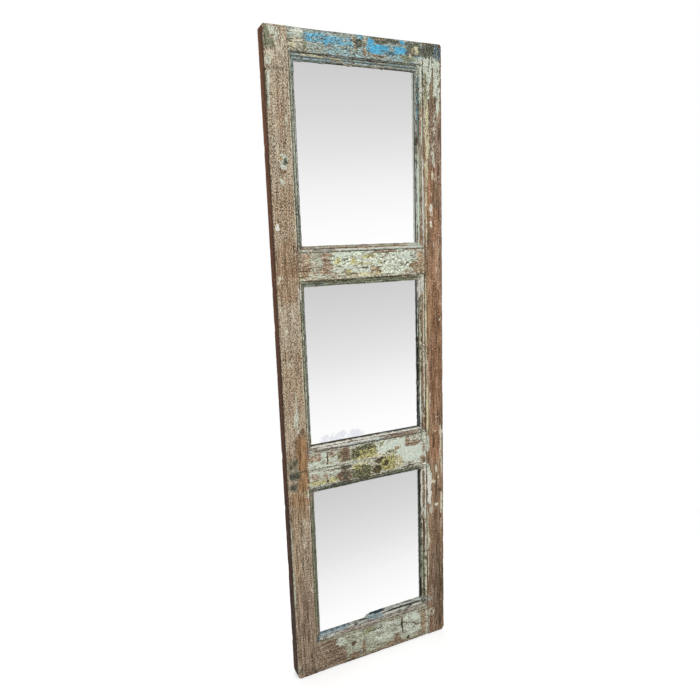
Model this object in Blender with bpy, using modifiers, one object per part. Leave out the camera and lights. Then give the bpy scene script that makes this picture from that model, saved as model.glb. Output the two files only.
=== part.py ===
"""Wall mirror made from an old door leaf with three lights.

Two stiles and four rails, with a moulding run along their inner edges, are joined by pegged mortise and
tenon joints and hold three mirror panes. Each pane lies in a rebate behind the moulding, with a backing
board and four battens behind it. Two D-rings on straps hang on the backs of the stiles.

Metres. The front faces -Y, +X is the viewer's right and +Z is up. The origin is the middle of the
underside. Below, u is measured inwards from the outer edge of a stile, v down from the top of the frame
and d backwards from the front face.
"""

from math import acos, asin, cos, pi, sin, sqrt

import bmesh
import bpy
from mathutils import Matrix

# Frame
FRAME_HEIGHT = 1.804
FRAME_WIDTH = 0.513
FRAME_THICKNESS = 0.045
CORNER_RADIUS = 0.004
FRONT_ARRIS_RADIUS = 0.003
BACK_ARRIS_RADIUS = 0.0015

# Plain faces of stiles and rails, between their arrises
STILE_FACE = 0.062
TOP_RAIL_FACE = 0.0575
UPPER_MID_RAIL_FACE = 0.073
LOWER_MID_RAIL_FACE = 0.105
BOTTOM_RAIL_FACE = 0.102

# Heights of glass that show; the bottom pane takes what is left
TOP_PANE_SIGHT = 0.460
MIDDLE_PANE_SIGHT = 0.445

# Moulding along the inner edges, and the rebate behind it
STICKING_WIDTH = 0.0185
STICKING_DEPTH = 0.017
REBATE_WIDTH = 0.0085

# Joints
TENON_LENGTH = 0.050
TENON_THICKNESS = 0.015
TENON_FRONT_DEPTH = 0.0185
TENON_SHOULDER = 0.005
HAUNCH = 0.012
PEG_DIAMETER = 0.009
PEG_FROM_EDGE = 0.022
PEG_SPACING = 0.035
SHORT_PEG_SPACING = 0.021
BLIND_PEG_COVER = 0.011

# Glazing
PANE_THICKNESS = 0.004
PANE_SIDE_CLEARANCE = 0.0008
PANE_TOP_CLEARANCE = 0.0012
PANE_ARRIS = 0.0004
BOARD_THICKNESS = 0.006
BATTEN_WIDTH = 0.011
BATTEN_DEPTH = 0.012
BATTEN_ROUND = 0.005

# Hangers
HANGER_FROM_TOP = 0.300
HANGER_FROM_EDGE = 0.034
STRAP_WIDTH = 0.014
STRAP_LENGTH = 0.050
STRAP_SHEET = 0.0012
RING_WIRE = 0.003
RING_INNER_WIDTH = 0.022
RING_INNER_HEIGHT = 0.018
RING_BEND = 0.003
SCREW_DROP = 0.0285
SCREW_SPACING = 0.014
SCREW_SHANK_DIAMETER = 0.0036
SCREW_HEAD_DIAMETER = 0.0075
SCREW_HEAD_HEIGHT = 0.0022
SCREW_LENGTH = 0.020
SCREW_POINT = 0.004
SCREW_SLOT = 0.0009

# Clearances: between seated faces, how far a cut passes the face it cuts, and what counts as one point
SEAT_GAP = 0.0003
OVERRUN = 0.004
WELD = SEAT_GAP / 100

# Shape of the moulding: shares of its width, inwards from the face's arris, and of its depth.
# A quirk, a large bead, a fillet, a small bead, and the lip that the glass lies against.
QUIRK_SHARES = ((0.0, 0.0), (0.02, 0.15), (0.09, 0.15))
LARGE_BEAD_SHARES = ((0.09, 0.06), (0.51, 0.46))
FILLET_SHARES = ((0.51, 0.53), (0.58, 0.53))
SMALL_BEAD_SHARES = ((0.58, 0.46), (0.83, 0.74))
LIP_SHARES = ((0.83, 0.82), (0.90, 0.82), (0.93, 0.76), (1.0, 0.80), (1.0, 1.0))

# Fineness of the round shapes
SHARP_ANGLE = pi / 5
BEAD_STEPS = 5
ARRIS_STEPS = 3
CORNER_STEPS = 6
PEG_SIDES = 20
LOOP_STEPS = 18
RING_STEPS = 8
SCREW_SIDES = 16

# Where each rail's plain face lies, from the top of the frame
TOP_RAIL = (0.0, TOP_RAIL_FACE)
TOP_SIGHT = TOP_RAIL_FACE + STICKING_WIDTH
UPPER_MID_START = TOP_SIGHT + TOP_PANE_SIGHT + STICKING_WIDTH
UPPER_MID_RAIL = (UPPER_MID_START, UPPER_MID_START + UPPER_MID_RAIL_FACE)
LOWER_MID_START = UPPER_MID_RAIL[1] + STICKING_WIDTH + MIDDLE_PANE_SIGHT + STICKING_WIDTH
LOWER_MID_RAIL = (LOWER_MID_START, LOWER_MID_START + LOWER_MID_RAIL_FACE)
BOTTOM_RAIL = (FRAME_HEIGHT - BOTTOM_RAIL_FACE, FRAME_HEIGHT)
RAILS = {
    "rail_top": TOP_RAIL,
    "rail_upper_mid": UPPER_MID_RAIL,
    "rail_lower_mid": LOWER_MID_RAIL,
    "rail_bottom": BOTTOM_RAIL,
}
SIDES = {"left": -1, "right": 1}

# The opening of the rebate that holds each pane: first and last v
SIGHT_TO_REBATE = STICKING_WIDTH - REBATE_WIDTH
REBATE_U = STILE_FACE + SIGHT_TO_REBATE
REBATES = {
    "top": (TOP_RAIL[1] + SIGHT_TO_REBATE, UPPER_MID_RAIL[0] - SIGHT_TO_REBATE),
    "middle": (UPPER_MID_RAIL[1] + SIGHT_TO_REBATE, LOWER_MID_RAIL[0] - SIGHT_TO_REBATE),
    "bottom": (LOWER_MID_RAIL[1] + SIGHT_TO_REBATE, BOTTOM_RAIL[0] - SIGHT_TO_REBATE),
}

# Depths of what lies in the rebate
PANE_FRONT = STICKING_DEPTH + SEAT_GAP
BOARD_FRONT = PANE_FRONT + PANE_THICKNESS + SEAT_GAP
BATTEN_FRONT = BOARD_FRONT + BOARD_THICKNESS + SEAT_GAP

# Turned flat outlines: drawn in X and Y, then stood up along X or along Y
ALONG_X = Matrix(((0, 0, 1, 0), (1, 0, 0, 0), (0, 1, 0, 0), (0, 0, 0, 1)))
ALONG_Y = Matrix.Rotation(pi / 2, 4, "X")
ALONG_Z = Matrix.Identity(4)


def clear_scene():
    for obj in list(bpy.data.objects):
        bpy.data.objects.remove(obj, do_unlink=True)


def new_collection(name, parent):
    collection = bpy.data.collections.new(name)
    parent.children.link(collection)
    return collection


def material(name, colour, roughness, metallic):
    made = bpy.data.materials.new(name)
    made.use_nodes = True
    surface = made.node_tree.nodes["Principled BSDF"]
    surface.inputs["Base Color"].default_value = (*colour, 1)
    surface.inputs["Roughness"].default_value = roughness
    surface.inputs["Metallic"].default_value = metallic
    return made


def across(side, u):
    """World x of a place u inside the outer edge of the left (-1) or right (1) stile."""
    return side * (FRAME_WIDTH / 2 - u)


def up(v):
    return FRAME_HEIGHT - v


def back(d):
    return d - FRAME_THICKNESS / 2


def arc(centre, radius, start, end, steps):
    """Points on an arc, ends included, with the angles in radians."""
    turns = [start + (end - start) * step / steps for step in range(steps + 1)]
    return [(centre[0] + radius * cos(turn), centre[1] + radius * sin(turn)) for turn in turns]


def add_part(name, mesh, collection, finish=None, place=ALONG_Z):
    obj = bpy.data.objects.new(name, mesh)
    obj.matrix_world = place
    collection.objects.link(obj)
    if finish:
        mesh.materials.clear()
        mesh.materials.append(finish)
    else:
        obj.hide_render = True
        obj.display_type = "WIRE"
    return obj


def curve_to_mesh(name, curve, place, collection, finish):
    """The mesh of a curve object, welded, in place of the curve."""
    drawn = bpy.data.objects.new(name + "_curve", curve)
    drawn.matrix_world = place
    collection.objects.link(drawn)
    graph = bpy.context.evaluated_depsgraph_get()
    mesh = bpy.data.meshes.new_from_object(drawn.evaluated_get(graph))
    mesh.name = name
    shape = bmesh.new()
    shape.from_mesh(mesh)
    bmesh.ops.remove_doubles(shape, verts=shape.verts, dist=WELD)
    bmesh.ops.recalc_face_normals(shape, faces=shape.faces)
    shape.to_mesh(mesh)
    shape.free()
    made = add_part(name, mesh, collection, finish, drawn.matrix_world.copy())
    bpy.data.objects.remove(drawn, do_unlink=True)
    return made


def outline_solid(name, points, start, end, standing, collection, finish=None):
    """A flat outline as a solid from start to end along its own axis."""
    curve = bpy.data.curves.new(name, "CURVE")
    curve.dimensions = "2D"
    curve.fill_mode = "BOTH"
    curve.extrude = (end - start) / 2
    spline = curve.splines.new("POLY")
    spline.points.add(len(points) - 1)
    for point, place in zip(spline.points, points):
        point.co = (*place, 0, 1)
    spline.use_cyclic_u = True
    lift = Matrix.Translation((0, 0, (start + end) / 2))
    return curve_to_mesh(name, curve, standing @ lift, collection, finish)


def box_solid(name, low, high, collection, finish=None, arris=0.0):
    """A box between two corners, with a small chamfer on its edges where arris is given."""
    shape = bmesh.new()
    bmesh.ops.create_cube(shape, size=1)
    sides = [high[axis] - low[axis] for axis in range(3)]
    middle = [(high[axis] + low[axis]) / 2 for axis in range(3)]
    bmesh.ops.scale(shape, vec=sides, verts=shape.verts)
    bmesh.ops.translate(shape, vec=middle, verts=shape.verts)
    if arris:
        edges = list(shape.edges)
        bmesh.ops.bevel(shape, geom=edges, offset=arris, segments=1, profile=0.5, affect="EDGES", material=-1)
    mesh = bpy.data.meshes.new(name)
    shape.to_mesh(mesh)
    shape.free()
    return add_part(name, mesh, collection, finish)


def rod_solid(name, radius, x, z, first, last, sides, collection, finish=None):
    """A round rod along Y, from y first to y last."""
    shape = bmesh.new()
    bmesh.ops.create_cone(
        shape, cap_ends=True, segments=sides, radius1=radius, radius2=radius, depth=last - first
    )
    mesh = bpy.data.meshes.new(name)
    shape.to_mesh(mesh)
    shape.free()
    place = Matrix.Translation((x, (first + last) / 2, z)) @ ALONG_Y
    obj = add_part(name, mesh, collection, finish, place)
    smooth(obj)
    return obj


def smooth(obj):
    obj.data.shade_smooth()
    obj.data.set_sharp_from_angle(angle=SHARP_ANGLE)


def boolean(obj, operation, cutter=None, cutters=None):
    change = obj.modifiers.new(operation.lower(), "BOOLEAN")
    change.operation = operation
    change.solver = "EXACT"
    if cutters:
        change.operand_type = "COLLECTION"
        change.collection = cutters
    else:
        change.object = cutter


def bead_points(shares):
    """A quarter round from the first corner, over its top, to the second, in shares."""
    (first_u, first_d), (last_u, last_d) = shares
    turns = [pi / 2 * step / BEAD_STEPS for step in range(BEAD_STEPS + 1)]
    wide = last_u - first_u
    deep = last_d - first_d
    return [(first_u + wide * sin(turn), first_d + deep * (1 - cos(turn))) for turn in turns]


def moulded_edge():
    """Outline of a moulded edge, front to back: how far it stands inside the face's arris, and d."""
    shares = list(QUIRK_SHARES)
    shares += bead_points(LARGE_BEAD_SHARES)
    shares += FILLET_SHARES
    shares += bead_points(SMALL_BEAD_SHARES)
    shares += LIP_SHARES
    sticking = [(u * STICKING_WIDTH, d * STICKING_DEPTH) for u, d in shares]
    rebate = [(SIGHT_TO_REBATE, STICKING_DEPTH), (SIGHT_TO_REBATE, FRAME_THICKNESS)]
    return sticking + rebate


def plain_edge():
    """Outline of an outer edge with worn arrises, front to back, in the terms of moulded_edge."""
    front_centre = (-FRONT_ARRIS_RADIUS, FRONT_ARRIS_RADIUS)
    back_centre = (-BACK_ARRIS_RADIUS, FRAME_THICKNESS - BACK_ARRIS_RADIUS)
    front = arc(front_centre, FRONT_ARRIS_RADIUS, -pi / 2, 0, ARRIS_STEPS)
    rear = arc(back_centre, BACK_ARRIS_RADIUS, 0, pi / 2, ARRIS_STEPS)
    return front + rear


def section(first, last, first_edge, last_edge):
    """Cross-section of a timber whose plain face runs from first to last."""
    points = [(last + out, d) for out, d in last_edge]
    points += [(first - out, d) for out, d in reversed(first_edge)]
    return points


def tenon_span(rail):
    """First and last v of a rail's tenons: set back by a haunch at the frame's ends."""
    first, last = RAILS[rail]
    first += HAUNCH if rail == "rail_top" else TENON_SHOULDER
    last -= HAUNCH if rail == "rail_bottom" else TENON_SHOULDER
    return first, last


def pegs_of(rail, side):
    """Each peg of a joint: name, x, z, and whether it shows on the front."""
    first, last = tenon_span(rail)
    middle = (first + last) / 2
    shows = rail == "rail_lower_mid" and side == "left"
    spacing = PEG_SPACING if shows else SHORT_PEG_SPACING
    count = 3 if shows else 2
    places = []
    for number in range(count):
        v = middle + (number - (count - 1) / 2) * spacing
        name = f"peg_{rail.removeprefix('rail_')}_{side}_{number + 1}"
        places.append((name, across(SIDES[side], PEG_FROM_EDGE), up(v), shows))
    return places


def peg_ends(shows):
    """First and last y of a peg: right through, or let in from the back."""
    front = 0.0 if shows else BLIND_PEG_COVER
    return back(front), back(FRAME_THICKNESS)


def notch_outline(rail, side):
    """What a rail takes out of a stile's moulding: square to the joint line, with mitred ends."""
    first, last = RAILS[rail]
    reach = STICKING_WIDTH + OVERRUN
    top = (first - reach) if rail != "rail_top" else -OVERRUN
    foot = (last + reach) if rail != "rail_bottom" else FRAME_HEIGHT + OVERRUN
    inner_top = first if rail != "rail_top" else -OVERRUN
    inner_foot = last if rail != "rail_bottom" else FRAME_HEIGHT + OVERRUN
    corners = (
        (STILE_FACE, inner_top),
        (STILE_FACE + reach, top),
        (STILE_FACE + reach, foot),
        (STILE_FACE, inner_foot),
    )
    return [(across(SIDES[side], u), up(v)) for u, v in corners]


def rail_outline(rail):
    """Front view of a rail: shoulders at the joint lines, with mitred mouldings, a gap inside the notches."""
    first, last = RAILS[rail]
    reach = STICKING_WIDTH + OVERRUN
    slack = SEAT_GAP * sqrt(2)
    shoulder = STILE_FACE + SEAT_GAP
    tip = STILE_FACE + reach + slack
    if rail == "rail_top":
        upper = [(shoulder, -OVERRUN)]
    else:
        upper = [(tip, first - reach), (shoulder, first + slack - SEAT_GAP)]
    if rail == "rail_bottom":
        lower = [(shoulder, FRAME_HEIGHT + OVERRUN)]
    else:
        lower = [(shoulder, last - slack + SEAT_GAP), (tip, last + reach)]
    end = upper + lower
    left = [(across(-1, u), up(v)) for u, v in end]
    right = [(across(1, u), up(v)) for u, v in reversed(end)]
    return left + right


def rounding(radius, steps):
    """What a rounding takes off a square corner at zero, as an outline that overruns both faces."""
    points = [(-OVERRUN, -OVERRUN), (radius, -OVERRUN)]
    points += arc((radius, radius), radius, -pi / 2, -pi, steps)
    points += [(-OVERRUN, radius)]
    return points


def corner_outline(side, at_top):
    """What wear has rounded off an outer corner of the frame, seen from the front."""
    points = rounding(CORNER_RADIUS, CORNER_STEPS)
    return [(across(SIDES[side], u), up(v if at_top else FRAME_HEIGHT - v)) for u, v in points]


def end_arris_outline(at_top, at_front):
    """What wear has rounded off the front or back arris of a stile's end, seen from the side."""
    radius = FRONT_ARRIS_RADIUS if at_front else BACK_ARRIS_RADIUS
    points = rounding(radius, ARRIS_STEPS)
    return [
        (back(d if at_front else FRAME_THICKNESS - d), up(v if at_top else FRAME_HEIGHT - v))
        for d, v in points
    ]


def make_stile(side, parts, cutters, timber):
    around = section(0, STILE_FACE, plain_edge(), moulded_edge())
    outline = [(across(SIDES[side], u), back(d)) for u, d in around]
    name = f"stile_{side}"
    stile = outline_solid(name, outline, 0, FRAME_HEIGHT, ALONG_Z, parts, timber)
    cuts = new_collection(f"cuts_{name}", cutters)
    reach = FRAME_THICKNESS / 2 + OVERRUN
    for rail in RAILS:
        outline_solid(f"notch_{rail}_{side}", notch_outline(rail, side), -reach, reach, ALONG_Y, cuts)
        mortise_solid(rail, side, cuts)
        for peg, x, z, shows in pegs_of(rail, side):
            first, last = peg_ends(shows)
            front = first - (OVERRUN if shows else SEAT_GAP)
            radius = PEG_DIAMETER / 2 + SEAT_GAP
            rod_solid(f"bore_{peg}_stile", radius, x, z, front, last + OVERRUN, PEG_SIDES, cuts)
    x_ends = sorted((across(SIDES[side], -OVERRUN), across(SIDES[side], STILE_FACE + STICKING_WIDTH)))
    for place, at_top in (("top", True), ("foot", False)):
        outline_solid(f"corner_{place}_{side}", corner_outline(side, at_top), -reach, reach, ALONG_Y, cuts)
        for face, at_front in (("front", True), ("back", False)):
            arris = end_arris_outline(at_top, at_front)
            outline_solid(f"arris_{place}_{face}_{side}", arris, *x_ends, ALONG_X, cuts)
    for number, z in enumerate(screw_heights(), 1):
        x = across(SIDES[side], HANGER_FROM_EDGE)
        first = screw_seat() - SCREW_LENGTH - SEAT_GAP
        last = back(FRAME_THICKNESS) + OVERRUN
        radius = SCREW_SHANK_DIAMETER / 2 + SEAT_GAP
        rod_solid(f"pilot_{side}_{number}", radius, x, z, first, last, SCREW_SIDES, cuts)
    boolean(stile, "DIFFERENCE", cutters=cuts)


def mortise_solid(rail, side, cuts):
    first, last = tenon_span(rail)
    deep_end = across(SIDES[side], STILE_FACE - TENON_LENGTH - SEAT_GAP)
    mouth = across(SIDES[side], STILE_FACE + OVERRUN)
    front = back(TENON_FRONT_DEPTH - SEAT_GAP)
    rear = back(TENON_FRONT_DEPTH + TENON_THICKNESS + SEAT_GAP)
    low = (min(deep_end, mouth), front, up(last + SEAT_GAP))
    high = (max(deep_end, mouth), rear, up(first - SEAT_GAP))
    return box_solid(f"mortise_{rail}_{side}", low, high, cuts)


def make_rail(rail, parts, cutters, timber):
    first, last = RAILS[rail]
    first_edge = plain_edge() if rail == "rail_top" else moulded_edge()
    last_edge = plain_edge() if rail == "rail_bottom" else moulded_edge()
    outline = [(back(d), up(v)) for v, d in section(first, last, first_edge, last_edge)]
    half = FRAME_WIDTH / 2 - STILE_FACE + OVERRUN
    made = outline_solid(rail, outline, -half, half, ALONG_X, parts, timber)
    reach = FRAME_THICKNESS / 2 + OVERRUN
    ends = outline_solid(f"ends_{rail}", rail_outline(rail), -reach, reach, ALONG_Y, cutters)
    boolean(made, "INTERSECT", ends)
    top, foot = tenon_span(rail)
    tip = FRAME_WIDTH / 2 - STILE_FACE + TENON_LENGTH
    front = back(TENON_FRONT_DEPTH)
    low = (-tip, front, up(foot))
    high = (tip, front + TENON_THICKNESS, up(top))
    tenons = box_solid(f"tenons_{rail}", low, high, cutters)
    boolean(made, "UNION", tenons)
    cuts = new_collection(f"cuts_{rail}", cutters)
    for side in SIDES:
        for peg, x, z, _ in pegs_of(rail, side):
            radius = PEG_DIAMETER / 2 + SEAT_GAP
            rod_solid(f"bore_{peg}_tenon", radius, x, z, -reach, reach, PEG_SIDES, cuts)
    boolean(made, "DIFFERENCE", cutters=cuts)


def make_pegs(rail, side, parts, finish):
    for name, x, z, shows in pegs_of(rail, side):
        first, last = peg_ends(shows)
        if shows:
            first += SEAT_GAP
        last -= SEAT_GAP
        rod_solid(name, PEG_DIAMETER / 2, x, z, first, last, PEG_SIDES, parts, finish)


def make_glazing(light, parts, glass, board, timber):
    """Pane, backing board and four battens of one light."""
    first, last = REBATES[light]
    half = FRAME_WIDTH / 2 - REBATE_U - PANE_SIDE_CLEARANCE
    foot = up(last) + SEAT_GAP
    head = up(first) - PANE_TOP_CLEARANCE
    pane_low = (-half, back(PANE_FRONT), foot)
    pane_high = (half, back(PANE_FRONT + PANE_THICKNESS), head)
    box_solid(f"mirror_pane_{light}", pane_low, pane_high, parts, glass, PANE_ARRIS)
    board_low = (-half, back(BOARD_FRONT), foot)
    board_high = (half, back(BOARD_FRONT + BOARD_THICKNESS), head)
    box_solid(f"backing_board_{light}", board_low, board_high, parts, board, PANE_ARRIS)
    wall = FRAME_WIDTH / 2 - REBATE_U - SEAT_GAP
    for name, wall_z, inwards in (("upper", up(first) - SEAT_GAP, -1), ("lower", foot, 1)):
        outline = [(y, wall_z + inwards * out) for out, y in batten_section()]
        outline_solid(f"batten_{light}_{name}", outline, -wall, wall, ALONG_X, parts, timber)
    low = foot + BATTEN_WIDTH + SEAT_GAP
    high = up(first) - SEAT_GAP - BATTEN_WIDTH - SEAT_GAP
    for side, sign in SIDES.items():
        outline = [(sign * (wall - out), y) for out, y in batten_section()]
        outline_solid(f"batten_{light}_{side}", outline, low, high, ALONG_Z, parts, timber)


def batten_section():
    """Cross-section of a batten, one arris rounded: how far it stands out from the rebate's wall, and y."""
    front = back(BATTEN_FRONT)
    rear = front + BATTEN_DEPTH
    centre = (BATTEN_WIDTH - BATTEN_ROUND, rear - BATTEN_ROUND)
    points = [(0, front), (BATTEN_WIDTH, front)]
    points += arc(centre, BATTEN_ROUND, 0, pi / 2, ARRIS_STEPS)
    points += [(0, rear)]
    return points


# The strap's loop: the ring's bar turns in it
LOOP_INNER = RING_WIRE / 2 + SEAT_GAP
LOOP_OUTER = LOOP_INNER + STRAP_SHEET
STRAP_BACK = FRAME_THICKNESS / 2 + SEAT_GAP
AXIS_Y = STRAP_BACK + LOOP_OUTER
AXIS_Z = FRAME_HEIGHT - HANGER_FROM_TOP
STRAP_FRONT = STRAP_BACK + 2 * STRAP_SHEET + SEAT_GAP


def strap_outline():
    """Side view of the strap in y and z: a strip folded round the ring's bar, its two leaves hanging down."""
    foot = AXIS_Z - STRAP_LENGTH
    inner_leaf = STRAP_BACK + STRAP_SHEET
    outer_leaf = STRAP_FRONT - STRAP_SHEET
    outer_turn = -acos((STRAP_FRONT - AXIS_Y) / LOOP_OUTER)
    inner_turn = -acos((outer_leaf - AXIS_Y) / LOOP_INNER)
    points = [(STRAP_BACK, foot)]
    points += arc((AXIS_Y, AXIS_Z), LOOP_OUTER, pi, outer_turn, LOOP_STEPS)
    points += [(STRAP_FRONT, foot), (outer_leaf, foot)]
    points += arc((AXIS_Y, AXIS_Z), LOOP_INNER, inner_turn, pi, LOOP_STEPS)
    points += [(inner_leaf, foot)]
    return points


def screw_seat():
    """The y at which a screw's head bears on the strap."""
    return STRAP_FRONT + SEAT_GAP


def screw_heights():
    return [AXIS_Z - SCREW_DROP, AXIS_Z - SCREW_DROP - SCREW_SPACING]


def make_strap(side, parts, cutters, steel):
    x = across(SIDES[side], HANGER_FROM_EDGE)
    name = f"hanger_strap_{side}"
    first = x - STRAP_WIDTH / 2
    strap = outline_solid(name, strap_outline(), first, first + STRAP_WIDTH, ALONG_X, parts, steel)
    smooth(strap)
    cuts = new_collection(f"cuts_{name}", cutters)
    radius = SCREW_SHANK_DIAMETER / 2 + SEAT_GAP
    for number, z in enumerate(screw_heights(), 1):
        first_y = STRAP_BACK - OVERRUN
        last_y = STRAP_FRONT + OVERRUN
        rod_solid(f"hole_{name}_{number}", radius, x, z, first_y, last_y, SCREW_SIDES, cuts)
    boolean(strap, "DIFFERENCE", cutters=cuts)


def make_ring(side, parts, steel):
    """A D-ring of round wire, hung from its straight bar, leaning on the strap."""
    half = (RING_INNER_WIDTH + RING_WIRE) / 2
    drop = RING_INNER_HEIGHT + RING_WIRE
    bend = RING_BEND
    points = arc((half - bend, -bend), bend, pi / 2, 0, ARRIS_STEPS)
    points += arc((0, half - drop), half, 0, -pi, 2 * RING_STEPS)
    points += arc((bend - half, -bend), bend, pi, pi / 2, ARRIS_STEPS)
    name = f"hanger_ring_{side}"
    curve = bpy.data.curves.new(name, "CURVE")
    curve.dimensions = "3D"
    curve.bevel_depth = RING_WIRE / 2
    curve.bevel_resolution = 2
    curve.use_fill_caps = True
    spline = curve.splines.new("POLY")
    spline.points.add(len(points) - 1)
    for point, (x, z) in zip(spline.points, points):
        point.co = (x, 0, z, 1)
    spline.use_cyclic_u = True
    lean = asin((STRAP_FRONT + SEAT_GAP + RING_WIRE / 2 - AXIS_Y) / drop)
    axis = Matrix.Translation((across(SIDES[side], HANGER_FROM_EDGE), AXIS_Y, AXIS_Z))
    place = axis @ Matrix.Rotation(lean, 4, "X")
    ring = curve_to_mesh(name, curve, place, parts, steel)
    smooth(ring)


def make_screw(side, number, z, parts, cutters, steel):
    """A slotted round-head wood screw, turned about its own axis and driven from the back."""
    shank = SCREW_SHANK_DIAMETER / 2
    head = SCREW_HEAD_DIAMETER / 2
    turns = [pi / 2 * step / ARRIS_STEPS for step in range(ARRIS_STEPS + 1)]
    profile = [(head * sin(turn), SCREW_HEAD_HEIGHT * cos(turn)) for turn in turns]
    profile += [(shank, 0), (shank, SCREW_POINT - SCREW_LENGTH), (0, -SCREW_LENGTH)]
    name = f"hanger_screw_{side}_{number}"
    shape = bmesh.new()
    corners = [shape.verts.new((radius, 0, height)) for radius, height in profile]
    for first, last in zip(corners, corners[1:]):
        shape.edges.new((first, last))
    mesh = bpy.data.meshes.new(name)
    shape.to_mesh(mesh)
    shape.free()
    x = across(SIDES[side], HANGER_FROM_EDGE)
    place = Matrix.Translation((x, screw_seat(), z)) @ Matrix.Rotation(-pi / 2, 4, "X")
    screw = add_part(name, mesh, parts, steel, place)
    turned = screw.modifiers.new("turned", "SCREW")
    turned.steps = SCREW_SIDES
    turned.render_steps = SCREW_SIDES
    turned.use_merge_vertices = True
    turned.merge_threshold = WELD
    half_slot = SCREW_SLOT / 2
    low = (x - head - OVERRUN, screw_seat() + SCREW_HEAD_HEIGHT / 2, z - half_slot)
    high = (x + head + OVERRUN, screw_seat() + SCREW_HEAD_HEIGHT + OVERRUN, z + half_slot)
    slot = box_solid(f"slot_{name}", low, high, cutters)
    boolean(screw, "DIFFERENCE", slot)


def main():
    clear_scene()
    scene = bpy.context.scene.collection
    parts = new_collection("panel_wall_mirror", scene)
    cutters = new_collection("cutters", scene)
    timber = material("weathered_timber", (0.36, 0.32, 0.24), 0.85, 0)
    glass = material("mirror_glass", (0.82, 0.83, 0.84), 0.03, 1)
    board = material("backing_board", (0.32, 0.22, 0.14), 0.8, 0)
    batten = material("batten_timber", (0.42, 0.30, 0.19), 0.8, 0)
    plug = material("peg_timber", (0.13, 0.13, 0.11), 0.85, 0)
    steel = material("zinc_plated_steel", (0.55, 0.55, 0.54), 0.4, 1)
    for side in SIDES:
        make_stile(side, parts, cutters, timber)
    for rail in RAILS:
        make_rail(rail, parts, cutters, timber)
        for side in SIDES:
            make_pegs(rail, side, parts, plug)
    for light in REBATES:
        make_glazing(light, parts, glass, board, batten)
    for side in SIDES:
        make_strap(side, parts, cutters, steel)
        make_ring(side, parts, steel)
        for number, z in enumerate(screw_heights(), 1):
            make_screw(side, number, z, parts, cutters, steel)


main()
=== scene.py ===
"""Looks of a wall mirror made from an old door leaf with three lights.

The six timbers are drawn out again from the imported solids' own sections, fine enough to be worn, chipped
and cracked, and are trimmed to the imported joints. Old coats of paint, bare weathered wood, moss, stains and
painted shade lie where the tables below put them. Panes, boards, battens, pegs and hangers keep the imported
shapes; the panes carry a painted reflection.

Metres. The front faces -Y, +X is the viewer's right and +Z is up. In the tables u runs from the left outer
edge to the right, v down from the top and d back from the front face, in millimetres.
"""

from itertools import starmap
from math import atan2, ceil, cos, hypot, pi, radians, sin

import bmesh
import bpy
import numpy as np
from mathutils import Matrix, Vector


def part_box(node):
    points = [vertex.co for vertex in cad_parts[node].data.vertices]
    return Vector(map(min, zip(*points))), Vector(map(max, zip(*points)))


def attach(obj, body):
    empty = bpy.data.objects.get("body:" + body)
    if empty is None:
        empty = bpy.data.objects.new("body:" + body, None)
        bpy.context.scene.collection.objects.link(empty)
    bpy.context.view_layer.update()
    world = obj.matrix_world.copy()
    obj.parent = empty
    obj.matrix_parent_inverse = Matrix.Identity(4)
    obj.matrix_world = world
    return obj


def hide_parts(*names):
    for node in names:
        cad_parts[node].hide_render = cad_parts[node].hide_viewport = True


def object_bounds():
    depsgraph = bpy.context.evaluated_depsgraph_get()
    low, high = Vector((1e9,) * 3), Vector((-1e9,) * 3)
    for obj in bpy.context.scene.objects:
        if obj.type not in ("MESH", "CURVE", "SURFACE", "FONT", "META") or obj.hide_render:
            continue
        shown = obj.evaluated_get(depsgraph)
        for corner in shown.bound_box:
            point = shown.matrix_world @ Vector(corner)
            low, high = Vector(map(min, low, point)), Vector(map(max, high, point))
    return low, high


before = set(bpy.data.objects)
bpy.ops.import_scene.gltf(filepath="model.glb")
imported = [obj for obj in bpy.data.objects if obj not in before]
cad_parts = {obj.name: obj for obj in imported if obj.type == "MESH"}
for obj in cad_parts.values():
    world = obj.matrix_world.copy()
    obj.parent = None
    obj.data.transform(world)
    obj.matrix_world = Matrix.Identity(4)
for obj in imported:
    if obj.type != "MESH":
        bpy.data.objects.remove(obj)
packed_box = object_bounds()

MM = 0.001
LOWEST, HIGHEST = packed_box
FRAME_WIDTH = (HIGHEST.x - LOWEST.x) / MM
FRAME_HEIGHT = (HIGHEST.z - LOWEST.z) / MM
FRONT, BACK = (corner.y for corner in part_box("stile_left"))
FRAME_THICKNESS = (BACK - FRONT) / MM

# Timbers: which way each one's grain runs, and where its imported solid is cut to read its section
UPRIGHT, LEVEL = Vector((0, 0, 1)), Vector((1, 0, 0))
STILE_CUT, RAIL_CUT = Vector((0, 0, 1.400)), Vector((0, 0, 0))
TIMBERS = {stile: (UPRIGHT, STILE_CUT) for stile in ("stile_left", "stile_right")}
TIMBERS |= {rail: (LEVEL, RAIL_CUT) for rail in ("rail_top", "rail_upper_mid", "rail_lower_mid", "rail_bottom")}

# How fine the timbers are drawn, how far past their ends, and which arrises stay sharp
FACE_SPACING, BACK_SPACING, LENGTH_SPACING = 2.1 * MM, 5.0 * MM, 2.6 * MM
OVERRUN = 2 * MM
WELD = 0.002 * MM
STRAIGHT = 0.01
SHARP_ANGLE = radians(38)

# Where the faces end and the mouldings begin, in u and v
STILE_FACE = 62.0
RAIL_FACES = ((0, 57.5), (554.5, 627.5), (1109.5, 1214.5), (1702.0, 1804.0))
STICKING_WIDTH, STICKING_DEPTH = 18.5, 17.0

# Camera: where it stands, and which way its right and its up point
CAMERA_PLACE = (-0.7228, -1.5017, 1.2759)
CAMERA_RIGHT = Vector((0.907874, -0.417904, -0.033477))
CAMERA_UP = Vector((0.105838, 0.151197, 0.982821))
CAMERA_LENS, CAMERA_SENSOR = 30.198, 36.0
LAMP_AIM = Vector((0, 0, 0.9))

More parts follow.
